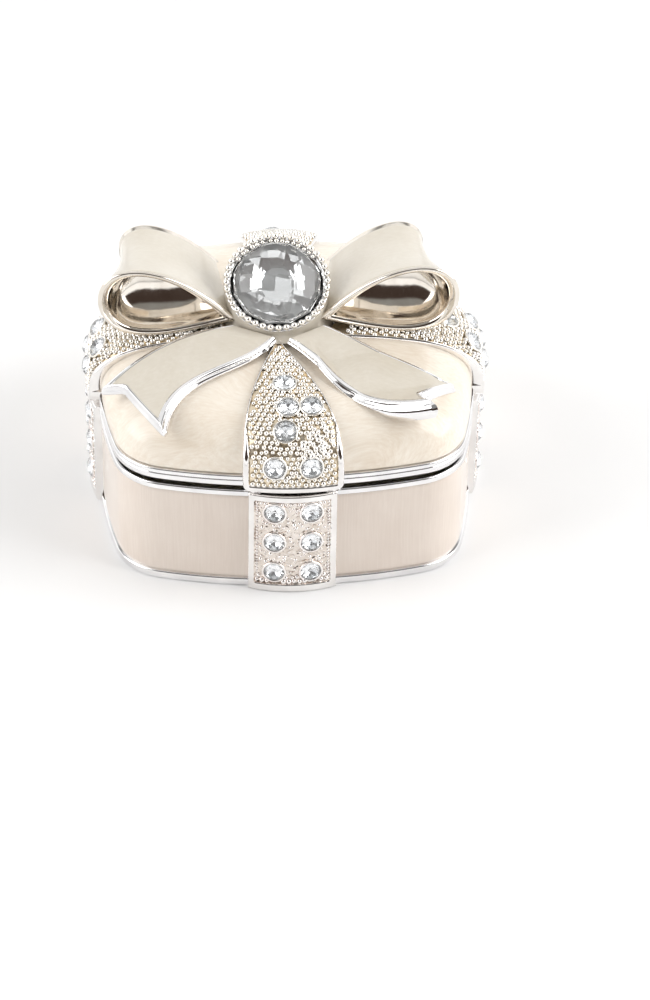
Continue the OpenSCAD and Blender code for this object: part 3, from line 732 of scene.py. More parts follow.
def keyhole(radius, half, y_wall):
    """Outline of the round magnet boss, joined to the wall in front of it by a web."""
    start = math.asin(half / radius)
    arc = np.linspace(-QUARTER + start, 3 * QUARTER - start, 28)
    boss = np.stack([radius * np.cos(arc), MAGNET_Y + radius * np.sin(arc)], -1)
    foot = np.array([[-half, y_wall], [-half / 3, y_wall], [half / 3, y_wall], [half, y_wall]])
    return np.concatenate([boss, foot])


def base_boss():
    """The boss that holds the base magnet in a pocket."""
    wall = BASE_WALL / 2 - SIDE_HALF
    pocket, depth, lip = 2.55, 1.4, BASE_HEIGHT - 0.25
    levels = ((0.3, 1.7), (0, 2.4), (0, lip - 0.25), (-0.08, lip - 0.08), (-0.25, lip))
    rings = [raised(keyhole(BOSS_R + swell, WEB_HALF + swell, wall), z) for swell, z in levels]
    arc = np.linspace(-QUARTER, 3 * QUARTER + 1.2, len(rings[0]) + 1)[:-1]
    for radius, z in ((pocket + 0.08, lip), (pocket, lip - 0.1), (pocket, lip - depth)):
        rings.append(polar(arc, radius, z) + (0, MAGNET_Y, 0))
    boss = lathe_like(np.stack(rings), tips=((0, MAGNET_Y, 1.65), (0, MAGNET_Y, lip - depth)))
    make("base_magnet_boss", "base", boss, SILVER)


def base_enamel_panel(k):
    """One corner of the base's enamel, pillowed over its recess."""
    cut = BASE_RIBBON / 2 - 0.3
    z_low, z_high = 1.3, BASE_HEIGHT - 1.05
    face, fall, roll_width, back_inset = 0.34, 0.36, 0.55, 0.85
    steps = np.array([0, 0.08, 0.2, 0.4, 0.7])
    z = np.concatenate([z_low + steps, np.linspace(z_low + 1.2, z_high - 1.2, 14), z_high - steps[::-1]])
    roll = edge_roll(np.minimum(z - z_low, z_high - z), roll_width)
    front = [raised(corner_outline(face + fall * r, cut), h) for h, r in zip(z, roll)]
    back = [raised(corner_outline(back_inset, cut), h) for h in z]
    enamel_panel("base", k, on_side(np.stack(front), k), on_side(np.stack(back), k), BASE_ENAMEL)


def base_ribbon_surface(x, z, relief):
    """A point of the base ribbon on the +X side: x runs across it, relief stands out of it."""
    angle = np.asarray(x) / BASE_RIBBON_R
    return polar(angle, BASE_RIBBON_R + relief, z) + (BASE_RIBBON_CROWN - BASE_RIBBON_R, 0, 0)


def base_ribbon_normals(x):
    """Directions out of the base ribbon on the +X side."""
    angle = x / BASE_RIBBON_R
    return polar(angle, 1.0, 0.0)


def seated(relief, away):
    """Relief sunk to a cone round a crystal's seat, at the distance away from its middle."""
    seat_reach, seat_depth, slope = 1.6, 1.25, 0.58
    return np.where(away < seat_reach, np.minimum(relief, slope * away - seat_depth), relief)


def clear_of_seats(x, z, spots):
    """Whether a place on a base ribbon leaves room for all of its crystals."""
    return np.min(np.hypot(spots[:, 0] - x, spots[:, 1] - z)) > CRYSTAL_R + SEAT_MARGIN


def base_ribbon_band(k, spots):
    """The base ribbon on side k: borders round a sunk, hammered field with the crystals' seats."""
    x = np.linspace(-BASE_RIBBON_HALF, BASE_RIBBON_HALF, 113)[None, :]
    z = np.linspace(0, BASE_HEIGHT, 145)[:, None]
    side = BASE_RIBBON_HALF - np.abs(x)
    wave = 0.12 * (np.sin(x * 4.1 + 2 * np.sin(z * 2.3 + k)) * np.sin(z * 3.6 + 1.7 * np.sin(x * 1.9 - k)))
    wave = wave + 0.03 * np.sin(x * 9.3 - 2.1 * np.sin(z * 5.1)) * np.sin(z * 8.2 + 2 * np.sin(x * 4.4 + k))
    sunk = smooth(side, BASE_BORDER, BASE_BORDER + 0.25) * smooth(z, BASE_LIP, BASE_LIP + 0.2)
    sunk = sunk * smooth(BASE_HEIGHT - z, BASE_RIM, BASE_RIM + 0.22)
    depth, edge_radius = 0.3, 0.3
    gutter = 0.22 * np.exp(-((z - BASE_LIP - 0.35) / 0.28) ** 2)
    groove = 0.05 * np.exp(-((side - 0.62) / 0.06) ** 2)
    edge = np.minimum(np.minimum(side, z), BASE_HEIGHT - z)
    relief = -(depth + wave) * sunk - gutter * sunk - groove - edge_radius * edge_roll(edge, edge_radius)
    for spot_x, spot_z in spots:
        relief = seated(relief, np.hypot(x - spot_x, z - spot_z))
    front = base_ribbon_surface(x, z, relief)
    back = np.array(front)
    back[..., 0] = SIDE_HALF - 0.95
    # the sunk field takes the darker silver: painted shade in the recess
    ribbon_band("base", k, front, back, BASE_FIELD_SHADED, (sunk > 0.5)[1:, 1:])


def base_bead_places(spots):
    """Places (across, height, lift) and sizes of the ribbon's beads: four even rows, then rough grains."""
    places, sizes = [], []

    def row(xs, zs, size, lift, jitter=0.04):
        for x, z in np.stack(np.broadcast_arrays(xs, zs), -1):
            if clear_of_seats(x, z, spots):
                places.append((x + rng.uniform(-jitter, jitter), z + rng.uniform(-jitter, jitter), lift))
                sizes.append(size * rng.uniform(0.85, 1.15))

    inner = BASE_RIBBON_HALF - BASE_BORDER - 0.42
    for way in (-1, 1):
        row(way * inner, np.arange(BASE_LIP + 0.6, BASE_HEIGHT - BASE_RIM - 0.3, 0.52), 0.24, -0.3)
    row(np.arange(-inner, inner + 0.1, 0.62), BASE_HEIGHT - BASE_RIM - 0.5, 0.29, -0.26)
    row(np.arange(-inner, inner + 0.1, 0.8), BASE_LIP + 0.72, 0.42, -0.26, 0.08)
    row(np.arange(-inner + 0.4, inner, 0.8), BASE_LIP + 1.42, 0.36, -0.3, 0.1)
    rough_x = rng.uniform(-inner + 0.4, inner - 0.4, ROUGH_GRAINS)
    rough_z = rng.uniform(BASE_LIP + 1.2, BASE_HEIGHT - BASE_RIM - 0.7, ROUGH_GRAINS)
    for x, z in zip(rough_x, rough_z):
        if min(math.hypot(x - q[0], z - q[1]) for q in places) > GRAIN_SPACING:
            row([x], [z], rng.uniform(0.14, 0.34), -0.36)
    return np.array(places), np.array(sizes)


def base_ribbon(k):
    """The cast ribbon on one side of the base, with its beads and crystals."""
    spots = np.array([(way * CRYSTAL_PITCH / 2, z) for way in (-1, 1) for z in CRYSTAL_HEIGHTS])
    base_ribbon_band(k, spots)
    places, sizes = base_bead_places(spots)
    points = base_ribbon_surface(*places.T)
    free = clear_of_hinge(points, k)
    beads = scattered(BEAD, points[free], base_ribbon_normals(places[free, 0]), sizes[free])
    seats = base_ribbon_surface(spots[:, 0], spots[:, 1], 0), base_ribbon_normals(spots[:, 0])
    ribbon_trim("base", k, [beads], BASE_BEAD_SILVER, seats, ring_gap=0.16, lift=-0.08)


# ---- lid ----

LID_ANGLES = np.linspace(0, 2 * math.pi, 241)[:-1]


def dome_rings(stations, inset):
    return dome_point(LID_ANGLES[None, :], stations[:, None], inset)


def lid_ring(inset, z):
    return polar(LID_ANGLES, box_reach(LID_ANGLES, inset), z)


def lid_shell():
    """Shell of the lid: dome under the enamel, rim band with a fine groove, and the hollow inside."""
    up = np.sin(np.linspace(12, 88, 34) * DEG) ** (2 / DOME_POWER)
    outside = dome_rings(up, RECESS)
    top = LID_Z + LID_BAND
    band = rounded((
        (RECESS + 0.1, top, 0), (0.02, top, 0.3), (0, top - 0.62, 0.05), (0.13, top - 0.74, 0.05),
        (0, top - 0.86, 0.05), (0, LID_Z, 0.35), (LID_WALL, LID_Z, 0.35), (LID_WALL, LID_Z + 1.4, 0)))
    rings = np.stack([lid_ring(inset, z) for inset, z in band])
    inside = dome_rings(up[::-1], LID_WALL)
    shell = lathe_like(
        np.concatenate([outside, rings, inside]),
        tips=((0, 0, DOME_Z + DOME_RISE - RECESS), (0, 0, DOME_Z + DOME_RISE - LID_WALL)))
    make("lid_shell", "lid", shell, SILVER, ("lid_casting",))


def lid_lining():
    """The enamel skin inside the lid."""
    skin, foot = 0.3, LID_Z + 0.6
    up = np.sin(np.linspace(8, 84, 26) * DEG) ** (2 / DOME_POWER)
    near = LID_WALL + 0.03
    feet = np.stack([lid_ring(near, foot), lid_ring(near + skin, foot + 0.12)])
    lining = lathe_like(
        np.concatenate([dome_rings(up, near), feet, dome_rings(up[::-1], near + skin)]),
        tips=((0, 0, DOME_Z + DOME_RISE - near), (0, 0, DOME_Z + DOME_RISE - near - skin)))
    make("lid_lining_enamel", "lid", lining, INNER_ENAMEL, ("lid_lining",))


def lid_boss():
    """The column in the lid that holds its magnet."""
    roof, pocket, pocket_depth = 8.2, 2.52, 1.6
    levels = (
        (BOSS_R + 0.6, roof), (BOSS_R + 0.15, 5), (BOSS_R, 2.0), (BOSS_R, 0.3), (BOSS_R - 0.1, 0.1),
        (BOSS_R - 0.3, 0), (pocket + 0.1, 0), (pocket, 0.1), (pocket, pocket_depth))
    rings = np.stack([polar(circle(40), r, LID_Z + z) + (0, MAGNET_Y, 0) for r, z in levels])
    boss = lathe_like(rings, tips=((0, MAGNET_Y, LID_Z + roof), (0, MAGNET_Y, LID_Z + pocket_depth)))
    make("lid_magnet_boss", "lid", boss, SILVER, ("lid_magnet_cup",))


def arc_table(surface):
    """Arc length up a lid profile against its share of the reach, from the foot to near the hub."""
    t = np.linspace(90, 9, 600) * DEG
    s = np.sin(t) ** (2 / DOME_POWER)
    line = surface(s)
    length = np.concatenate([[0], np.cumsum(np.linalg.norm(np.diff(line, axis=0), axis=1))])
    return s, length


def ribbon_half(k, s):
    """Half the width of the lid ribbon on side k, at a share of the reach."""
    width = LID_RIBBON_HALVES[k % 4] * (1 - LID_RIBBON_TAPER[k % 4] * np.maximum(0, 1 - s) ** 1.5)
    return np.minimum(width, 0.66 * LID_RIBBON_CROWN * s)


def ribbon_lean(k, s):
    """Sideways shift of the lid ribbon's middle on side k, at a share of the reach."""
    return LID_RIBBON_LEAN[k % 4] * np.maximum(0, 1 - s) ** 1.1


def ribbon_angle(x, s):
    """Direction of a point at the sideways distance x on a lid ribbon."""
    return np.arcsin(np.clip(x / (LID_RIBBON_CROWN * s), -0.8, 0.8))


def lid_enamel_panel(k):
    """One quadrant of the dome's enamel, with soft rolled edges."""
    s_table, length = arc_table(lambda s: dome_point(np.zeros(len(s)), s, ENAMEL_SINK))
    start = 0.35
    fine = np.array([0, 0.05, 0.14, 0.3, 0.55])
    along = np.concatenate([start + fine, np.linspace(start + 0.9, length[-1], 74)])
    s = np.interp(along, length, s_table)[:, None]
    tuck = 0.3
    first = ribbon_angle(ribbon_half(k, s) + ribbon_lean(k, s) - tuck, s)
    last = QUARTER - ribbon_angle(ribbon_half(k + 1, s) - ribbon_lean(k + 1, s) - tuck, s)
    wide, reach = 0.045, 28
    share = np.concatenate([fine / reach, np.linspace(wide, 1 - wide, 66), 1 - fine[::-1] / reach])[None, :]
    angles = first + (last - first) * share
    width = np.minimum(angles - first, last - angles) * reach * s
    d = np.minimum(width, along[:, None] - start)
    a = angles + k * QUARTER
    fall, roll_width = 0.42, 0.5
    inset = ENAMEL_SINK + fall * edge_roll(d, roll_width)
    top = polar(a, box_reach(a, 0) * s - inset * s, DOME_Z + (DOME_RISE - inset) * dome_share(s))
    under = dome_point(a, s * np.ones_like(a), RECESS + 0.08)
    enamel_panel("lid", k, top, under, LID_ENAMEL)


class LidRibbon:
    """Surface of a lid ribbon by distance across (x) and distance up from its foot (l)."""

    def __init__(self, k):
        self.k = k
        self.s_table, arc = arc_table(lambda s: ribbon_point(np.zeros(len(s)), s))
        self.foot = DOME_Z - LID_Z
        self.length = arc + self.foot

    def share(self, l):
        return np.interp(l, self.length, self.s_table)

    def point(self, x, l):
        x, l = np.broadcast_arrays(np.asarray(x, float), np.asarray(l, float))
        s = self.share(l)
        p = ribbon_point(ribbon_angle(x, s), s)
        low = l < self.foot
        p[..., 2] = np.where(low, LID_Z + l, p[..., 2])
        return p

    def normal(self, x, l):
        h = 0.05
        across = self.point(x + h, l) - self.point(x - h, l)
        up = self.point(x, l + h) - self.point(x, np.maximum(0, l - h))
        n = np.cross(across, up)
        return n / np.linalg.norm(n, axis=-1, keepdims=True)

    def half(self, l):
        """Half the ribbon's width, with rounded bottom corners."""
        corner = 1.7
        drop = corner - np.sqrt(clamp(corner ** 2 - (corner - np.minimum(l, corner)) ** 2, 0, corner ** 2))
        return ribbon_half(self.k, self.share(l)) - drop

    def lean(self, l):
        return ribbon_lean(self.k, self.share(l))

    def border(self, l):
        return mix(1.0, 0.42, smooth(l, 5.5, 12.0))

    def up(self, s):
        """Distance up from the foot at a share of the reach."""
        return float(np.interp(-s, -self.s_table, self.length))

    def crystals(self):
        spots = []
        for s, xs in LID_ROWS[self.k]:
            spots.extend((x, self.up(s)) for x in xs)
        return np.array(spots)


def bead_grid(ribbon):
    """Staggered rows of bead places that fill a ribbon between its borders."""
    xs, ls = [], []
    pitch, row_pitch = 0.84, 0.74
    room_side, room_foot, room_hub = 0.22, 0.34, 2.5
    row_l, odd = LID_LIP + room_foot, 0
    while row_l < ribbon.length[-1] - room_hub:
        free = float(ribbon.half(row_l) - ribbon.border(row_l)) - room_side
        count = int(free / pitch) + 2
        line = (np.arange(-count, count + 1) + 0.5 * odd) * pitch
        line = line[np.abs(line) < free]
        xs.extend(line + float(ribbon.lean(row_l)))
        ls.extend([row_l] * len(line))
        row_l += row_pitch
        odd = 1 - odd
    return np.array(xs), np.array(ls)


def crown_drop(across, l):
    """How far a lid ribbon falls away beside its middle, at a share of its half width."""
    return LID_CROWN * np.abs(across) ** 3 * smooth(l, 4.0, 9.0)


def lid_ribbon_band(k, ribbon, seat_points):
    """The lid ribbon on side k: rounded borders round a sunk field with the crystals' seats."""
    l = np.concatenate([np.linspace(0, 4, 48), np.linspace(4.12, ribbon.length[-1], 160)])[:, None]
    across = np.linspace(-1, 1, 113)[None, :]
    half = ribbon.half(l)
    x = across * half + ribbon.lean(l)
    side = half - np.abs(across * half)
    border = ribbon.border(l)
    ridge_side = half_round(np.minimum(side, border), border) * (side < border)
    ridge_foot = half_round(np.minimum(l, LID_LIP), LID_LIP) * (l < LID_LIP)
    inside = smooth(side, border * 0.8, border) * smooth(l, LID_LIP * 0.8, LID_LIP)
    relief = -0.34 + 0.36 * np.maximum(ridge_side, ridge_foot) - 0.1 * inside - crown_drop(across, l)
    relief = relief + 0.03 * np.sin(x * 3.7 + k) * np.sin(l * 3.1 + 2 * k) * inside
    base = ribbon.point(x, l)
    for p in seat_points:
        relief = seated(relief, np.linalg.norm(base - p, axis=-1))
    top = base + ribbon.normal(x, l) * relief[..., None]
    s = ribbon.share(l)
    a = ribbon_angle(x, s)
    inset = RECESS + 0.25
    deep = polar(a, box_reach(a, inset) * s, DOME_Z + (DOME_RISE - inset) * dome_share(s))
    wall = np.array(base)
    wall[..., 0] = np.minimum(base[..., 0], SIDE_HALF - 1.1)
    under = np.where((l < ribbon.foot + 0.8)[..., None], wall, deep)
    # the sunk field takes the darker silver: painted shade between the beads
    ribbon_band("lid", k, top, under, FIELD_SILVER_SHADED, (inside > 0.5)[1:, 1:] & (inside > 0.5)[:-1, :-1])


def lid_ribbon(k):
    """The cast ribbon on one side of the lid, closely set with beads round its crystals."""
    ribbon = LidRibbon(k)
    spots = ribbon.crystals()
    seat_points = ribbon.point(spots[:, 0], spots[:, 1])
    seat_normals = ribbon.normal(spots[:, 0], spots[:, 1])
    lid_ribbon_band(k, ribbon, seat_points)

    xs, ls = bead_grid(ribbon)
    xs = xs + rng.uniform(-0.12, 0.12, len(xs))
    ls = ls + rng.uniform(-0.12, 0.12, len(ls))
    normals = ribbon.normal(xs, ls)
    across = np.clip((xs - ribbon.lean(ls)) / ribbon.half(ls), -1, 1)
    points = ribbon.point(xs, ls) - normals * crown_drop(across, ls)[:, None]
    sizes = rng.uniform(0.33, 0.43, len(xs))
    near = np.min(np.linalg.norm(points[:, None, :] - seat_points[None], axis=-1), axis=1)
    keep = (near > CRYSTAL_R + SEAT_MARGIN) & clear_of_hinge(points, k)
    front = SIDES[k] == "front"
    if front:
        keep &= np.hypot(xs - NUGGETS[0], (ls - ribbon.up(NUGGETS[1])) / 1.3) > 1.7
    beads = scattered(BEAD, (points - normals * 0.28)[keep], normals[keep], sizes[keep])
    grains = [beads, nuggets(ribbon)] if front else [beads]
    ribbon_trim("lid", k, grains, BEAD_SILVER, (seat_points, seat_normals), ring_gap=0.15)


# middle of the rough cast patch on the front ribbon: across, and as a share of the reach
NUGGETS = (3.1, 0.935)


def nuggets(ribbon):
    """A patch of larger, run-together cast grains."""
    xs, ls = [], []
    count, spread_x, spread_l, gap = 30, 1.9, 2.3, 0.52
    while len(xs) < count:
        x = NUGGETS[0] + rng.uniform(-spread_x, spread_x)
        l = ribbon.up(NUGGETS[1]) + rng.uniform(-spread_l, spread_l)
        if all(math.hypot(x - a, l - b) > gap for a, b in zip(xs, ls)):
            xs.append(x)
            ls.append(l)
    xs, ls = np.array(xs), np.array(ls)
    lean = rng.uniform(-0.5, 0.5, (len(xs), 3))
    grain = FINE_BEAD[0] * (1.0, 0.7, 0.95), FINE_BEAD[1]
    return scattered(
        grain, ribbon.point(xs, ls) - ribbon.normal(xs, ls) * 0.2, ribbon.normal(xs, ls) + lean,
        rng.uniform(0.42, 0.66, len(xs)), rng.uniform(0, math.pi, len(xs)))


# ---- knot and stone ----

def knot_place(points):
    """From the knot's own frame, whose Z faces the viewer, to the box."""
    c, s = math.cos(KNOT_TILT), math.sin(KNOT_TILT)
    x, y, z = points[..., 0], points[..., 1], points[..., 2]
    return np.stack([x + KNOT[0], y * c - z * s + KNOT[1], y * s + z * c + KNOT[2]], -1)


def knot_skirt():
    """Enamelled knot under the bead ring, which flares down onto the lid and hides the loops' roots."""
    count, steps, foot_r, narrowing = 96, 18, 8.6, 0.07
    around = circle(count)
    crest = knot_place(polar(around, BEAD_CIRCLE_R + 0.42, -0.15))
    middle = np.array([BOW_X, -0.9])
    foot = polar(around, foot_r, 0) + (*middle, 0)
    foot[:, 2] = lid_top(foot[:, 0], foot[:, 1], 0) - 0.3
    inside = ((BEAD_CIRCLE_R - 0.2, -1.6), (BEAD_CIRCLE_R + 0.15, -0.3))
    rings = [knot_place(polar(around, r, z)) for r, z in inside]
    for w in np.linspace(0, 1, steps):
        blend = mix(crest, foot, w)
        height = mix(crest[:, 2], foot[:, 2], w ** 0.75)
        waist = 1 - narrowing * math.sin(math.pi * w)
        centre = mix(np.array(KNOT[:2]), middle, w)
        plan = centre + (blend[:, :2] - centre) * waist
        rings.append(np.concatenate([plan, height[:, None]], 1))
    top = knot_place(np.array([0, 0, -6.4]))
    low = (*middle, DOME_Z + DOME_RISE - 0.5)
    skirt = lathe_like(np.stack(rings), tips=(top, low))
    make("knot_enamel", "lid", skirt, BOW_ENAMEL, ("knot_core",))


def knot_bezel():
    """Silver setting that carries the beads and holds the stone in a deep, shadowed bore."""
    rim = BEAD_CIRCLE_R
    path = rounded((
        (rim - 0.2, -1.9, 0), (rim + 0.46, -0.7, 0.2), (rim + 0.36, 0.05, 0.25), (rim - 0.3, 0.1, 0.2),
        (rim - 0.8, -0.35, 0.3), (STONE_R + 0.2, -0.7, 0.3), (STONE_R - 0.1, -2.0, 0)), 5)
    rings = np.stack([polar(circle(120), r, z) for r, z in path])
    bezel = lathe_like(rings, tips=((0, 0, -6.2), (0, 0, -5.6)))
    make("knot_bezel", "lid", moved(bezel, knot_place), SILVER, ("knot_cup",))


def bead_ring():
    """The ring of round beads that frames the stone."""
    places = polar(circle(BEAD_COUNT), BEAD_CIRCLE_R + 0.05, 0.55)
    beads = scattered(FINE_BEAD, places, np.tile(UP, (BEAD_COUNT, 1)), rng.uniform(0.47, 0.52, BEAD_COUNT))
    # at the back of the ring a second, closer row shows inside the first
    count = 15
    arc = np.linspace(35, 145, count) * DEG + rng.uniform(-0.03, 0.03, count)
    places = polar(arc, BEAD_CIRCLE_R - 0.78 + rng.uniform(-0.05, 0.05, count), 0.62)
    second = scattered(FINE_BEAD, places, np.tile(UP, (count, 1)), rng.uniform(0.3, 0.4, count))
    ring = moved(joined(beads, second), knot_place)
    make("knot_beads", "lid", ring, BEAD_SILVER, ("bead_ring",))


def cut_solid(mesh_name, radius, low, high, planes):
    """A round blank from low to high, cut flat by each (point, direction) plane."""
    bm = bmesh.new()
    bmesh.ops.create_cone(bm, cap_ends=True, segments=64, radius1=radius, radius2=radius, depth=high - low)
    bmesh.ops.translate(bm, verts=bm.verts, vec=(0, 0, (high + low) / 2))
    for point, direction in planes:
        geom = bm.verts[:] + bm.edges[:] + bm.faces[:]
        cut = bmesh.ops.bisect_plane(
            bm, geom=geom, dist=1e-5, plane_co=point, plane_no=direction, clear_outer=True)
        edges = [e for e in cut["geom_cut"] if isinstance(e, bmesh.types.BMEdge)]
        if edges:
            bmesh.ops.contextual_create(bm, geom=edges)
    bmesh.ops.remove_doubles(bm, verts=bm.verts, dist=1e-4)
    mesh = bpy.data.meshes.new(mesh_name)
    bm.to_mesh(mesh)
    bm.free()
    points = np.array([v.co for v in mesh.vertices], float)
    faces = [np.array([tuple(p.vertices)]) for p in mesh.polygons]
    bpy.data.meshes.remove(mesh)
    return points, faces


def tipped(angle, slope, way=1):
    """Direction at an angle round the stone's axis, tipped away from the axis; way -1 points down."""
    across = math.sin(slope)
    return Vector((math.cos(angle) * across, math.sin(angle) * across, way * math.cos(slope)))


def stone():
    """Large round stone: a crown of square facets over a flat, foiled back."""
    radius, crown, girdle, back = STONE_R + 0.25, 2.75, 0.3, 1.5
    crown_slope, back_slope = 52 * DEG, 42 * DEG
    crown_facets, back_facets = 16, 12
    pitch, turn, uneven = 2.6, -8 * DEG, 0.3
    dome_r = arc_radius(radius, crown)
    centre = Vector((0, 0, girdle + crown - dome_r))
    planes = []
    for i in range(4):
        for j in range(4):
            px, py = (i - 1.5) * pitch, (j - 1.5) * pitch
            x, y = px * math.cos(turn) - py * math.sin(turn), px * math.sin(turn) + py * math.cos(turn)
            direction = Vector((x, y, math.sqrt(dome_r ** 2 - x * x - y * y)))
            direction += Vector((rng.uniform(-uneven, uneven), rng.uniform(-uneven, uneven), 0))
            direction.normalize()
            planes.append((centre + direction * (dome_r - 0.1), direction))
    for i in range(crown_facets):
        a = (i + 0.5) * 2 * math.pi / crown_facets
        planes.append((Vector(polar(a, radius - 0.1, girdle)), tipped(a, crown_slope)))
    planes.append((Vector((0, 0, -back)), Vector((0, 0, -1))))
    for a in circle(back_facets):
        planes.append((Vector(polar(a, radius, 0)), tipped(a, back_slope, -1)))

    def set_in_knot(points):
        return knot_place(points + (0, 0, 0.33))

    cut = moved(cut_solid("stone_cut", radius + 0.05, -4.5, girdle + crown + 0.3, planes), set_in_knot)
    make("centre_stone_cut", "lid", cut, STONE_GLASS, ("centre_stone",), flat=True)
    flat = radius - back / math.tan(back_slope)
    radii = np.array([[radius + 0.3], [radius + 0.2], [flat + 0.1], [flat - 0.2]])
    levels = np.array([[-0.45], [-0.06], [-back - 0.04], [-back - 0.1]])
    rings = polar(circle(back_facets) + math.pi / back_facets, radii, levels)
    foil = moved(lathe_like(rings, tips=((0, 0, -back - 0.6), (0, 0, -back - 0.1))), set_in_knot)
    make("stone_foil_back", "lid", foil, FOIL, ("stone_foil",), flat=True)


# ---- bow ----

def loop_profile(profile, t):
    """Closed outline of a loop, once round for t from 0 to 1, from its root by way of the outer end."""
    p = [np.array(q, float) for q in profile]
    t = np.asarray(t, float)
    first = bezier(p[:4], clamp(2 * t))
    second = bezier([p[3], p[4], p[5], p[0]], clamp(2 * t - 1))
    return np.where((t < 0.5)[..., None], first, second)


def loop_point(side, t, v, swell):
    """A point of a loop: swell 1 is the outer face, under 1 is further in."""
    t, v, swell = np.broadcast_arrays(np.asarray(t, float), np.asarray(v, float), np.asarray(swell, float))
    edge = mix(loop_profile(LOOP_FRONT_PROFILE, t), loop_profile(LOOP_BACK_PROFILE, t), v[..., None])
    middle = mix(np.array(LOOP_MIDDLE_FRONT, float), np.array(LOOP_MIDDLE_BACK, float), v[..., None])
    spoke = edge - middle
    size = np.linalg.norm(spoke, axis=-1)
    turn = np.sin(math.pi * t)
    dip = 4 * v * (1 - v) * (LOOP_DISH * turn + LOOP_PINCH * turn ** 8)
    p = middle + spoke * (swell * (size - dip) / size)[..., None]
    stretch = LOOP_STRETCH[side]
    x = BOW_X + side * p[..., 0] * mix(stretch[0], stretch[1], v)
    y = mix(-LOOP_FRONT, LOOP_BACK, v)
    return np.stack([x, y, p[..., 1]], -1)


def bow_loop(side, name):
    """One loop: solid, with rounded rims round a polished bowl at each end and a channel for the enamel."""
    turns = np.linspace(0, 1, 145)[:-1][None, :]
    half_rim = 0.086 + 0.02 * np.sin(math.pi * turns) ** 4
    arc = np.linspace(90, 270, 13)[:, None] * DEG
    rim_v, crest = 0.034, 1.035
    level = crest - half_rim * (1 - np.sin(arc))
    front = rim_v * (1 + np.cos(arc)) + 0 * level
    channel_v = np.linspace(2 * rim_v, 1 - 2 * rim_v, 18)[:, None]
    outside_v = np.concatenate([front[::-1], channel_v + 0 * half_rim, 1 - front])
    outside_swell = np.concatenate([level[::-1], np.full(channel_v.shape, 0.985) + 0 * half_rim, level])
    outside = loop_point(side, turns, outside_v, outside_swell)

    def bowl(mouth, place, way):
        deep = np.array([BOW_X + side * place[0], mouth[0, 1] + way * place[2], place[1]])
        fall = np.linspace(4, 86, 24)[:, None, None] * DEG
        across = mix(deep, mouth[None], np.cos(fall))
        across[..., 1] = mix(mouth[None, :, 1], deep[1], np.sin(fall[..., 0]))
        return across, deep

    front_bowl, front_tip = bowl(outside[0], HOLLOW_FRONT, 1)
    back_bowl, back_tip = bowl(outside[-1], HOLLOW_BACK, -1)
    rings = np.concatenate([front_bowl[::-1], outside, back_bowl])
    loop = lathe_like(rings, tips=(front_tip, back_tip))
    # the loop takes the darker silver: painted shade in its hollows
    make("bow_loop_band_" + name, "lid", loop, LOOP_SHADED_SILVER, ("bow_loop_" + name,))


def loop_enamel(side, name):
    """The enamel skin that fills the channel round a loop."""
    fine = np.array([0, 0.006, 0.016, 0.032, 0.055])
    edge_v, edge_t = 0.062, 0.004
    v = np.concatenate([edge_v + fine, np.linspace(0.14, 0.86, 16), 1 - edge_v - fine[::-1]])[:, None]
    t = np.concatenate([edge_t + fine / 3, np.linspace(0.03, 0.97, 100), 1 - edge_t - fine[::-1] / 3])
    t = t[None, :]
    d = np.minimum(np.minimum(v, 1 - v) - edge_v, (np.minimum(t, 1 - t) - edge_t) * 0.035 / 0.012)
    outer = loop_point(side, t, v, 1.022 - 0.03 * edge_roll(d, 0.035))
    skin = slab(outer, loop_point(side, t, v, 0.978))
    make("loop_enamel_skin_" + name, "lid", skin, BOW_ENAMEL, ("loop_enamel_" + name,))


def tail_u(u, v, notch):
    """Distance along a tail for the row u, cut short by the swallow-tail notch."""
    notch_v, depth = notch
    return u * (1 - depth * np.where(v < notch_v, v / notch_v, (1 - v) / (1 - notch_v)))


def tail_surface(edges, u, v):
    """A point of a tail between its inner and outer edge, held just above the lid."""
    u, v = np.broadcast_arrays(np.asarray(u, float), np.asarray(v, float))
    p = mix(bezier(edges[0], u), bezier(edges[1], u), v[..., None])
    p[..., 2] = np.maximum(p[..., 2], lid_top(p[..., 0], p[..., 1], DEG) + 0.6)
    return p


def edge_stations(length, count):
    """Shares 0 to 1, close together near both ends, and each one's distance to its end."""
    fine = np.array([0, 0.05, 0.13, 0.24, 0.36, 0.46, 0.53, 0.58, 0.66]) / length
    share = np.concatenate([fine, np.linspace(0.9 / length, 1 - 0.9 / length, count), 1 - fine[::-1]])
    return share, np.minimum(share, 1 - share) * length


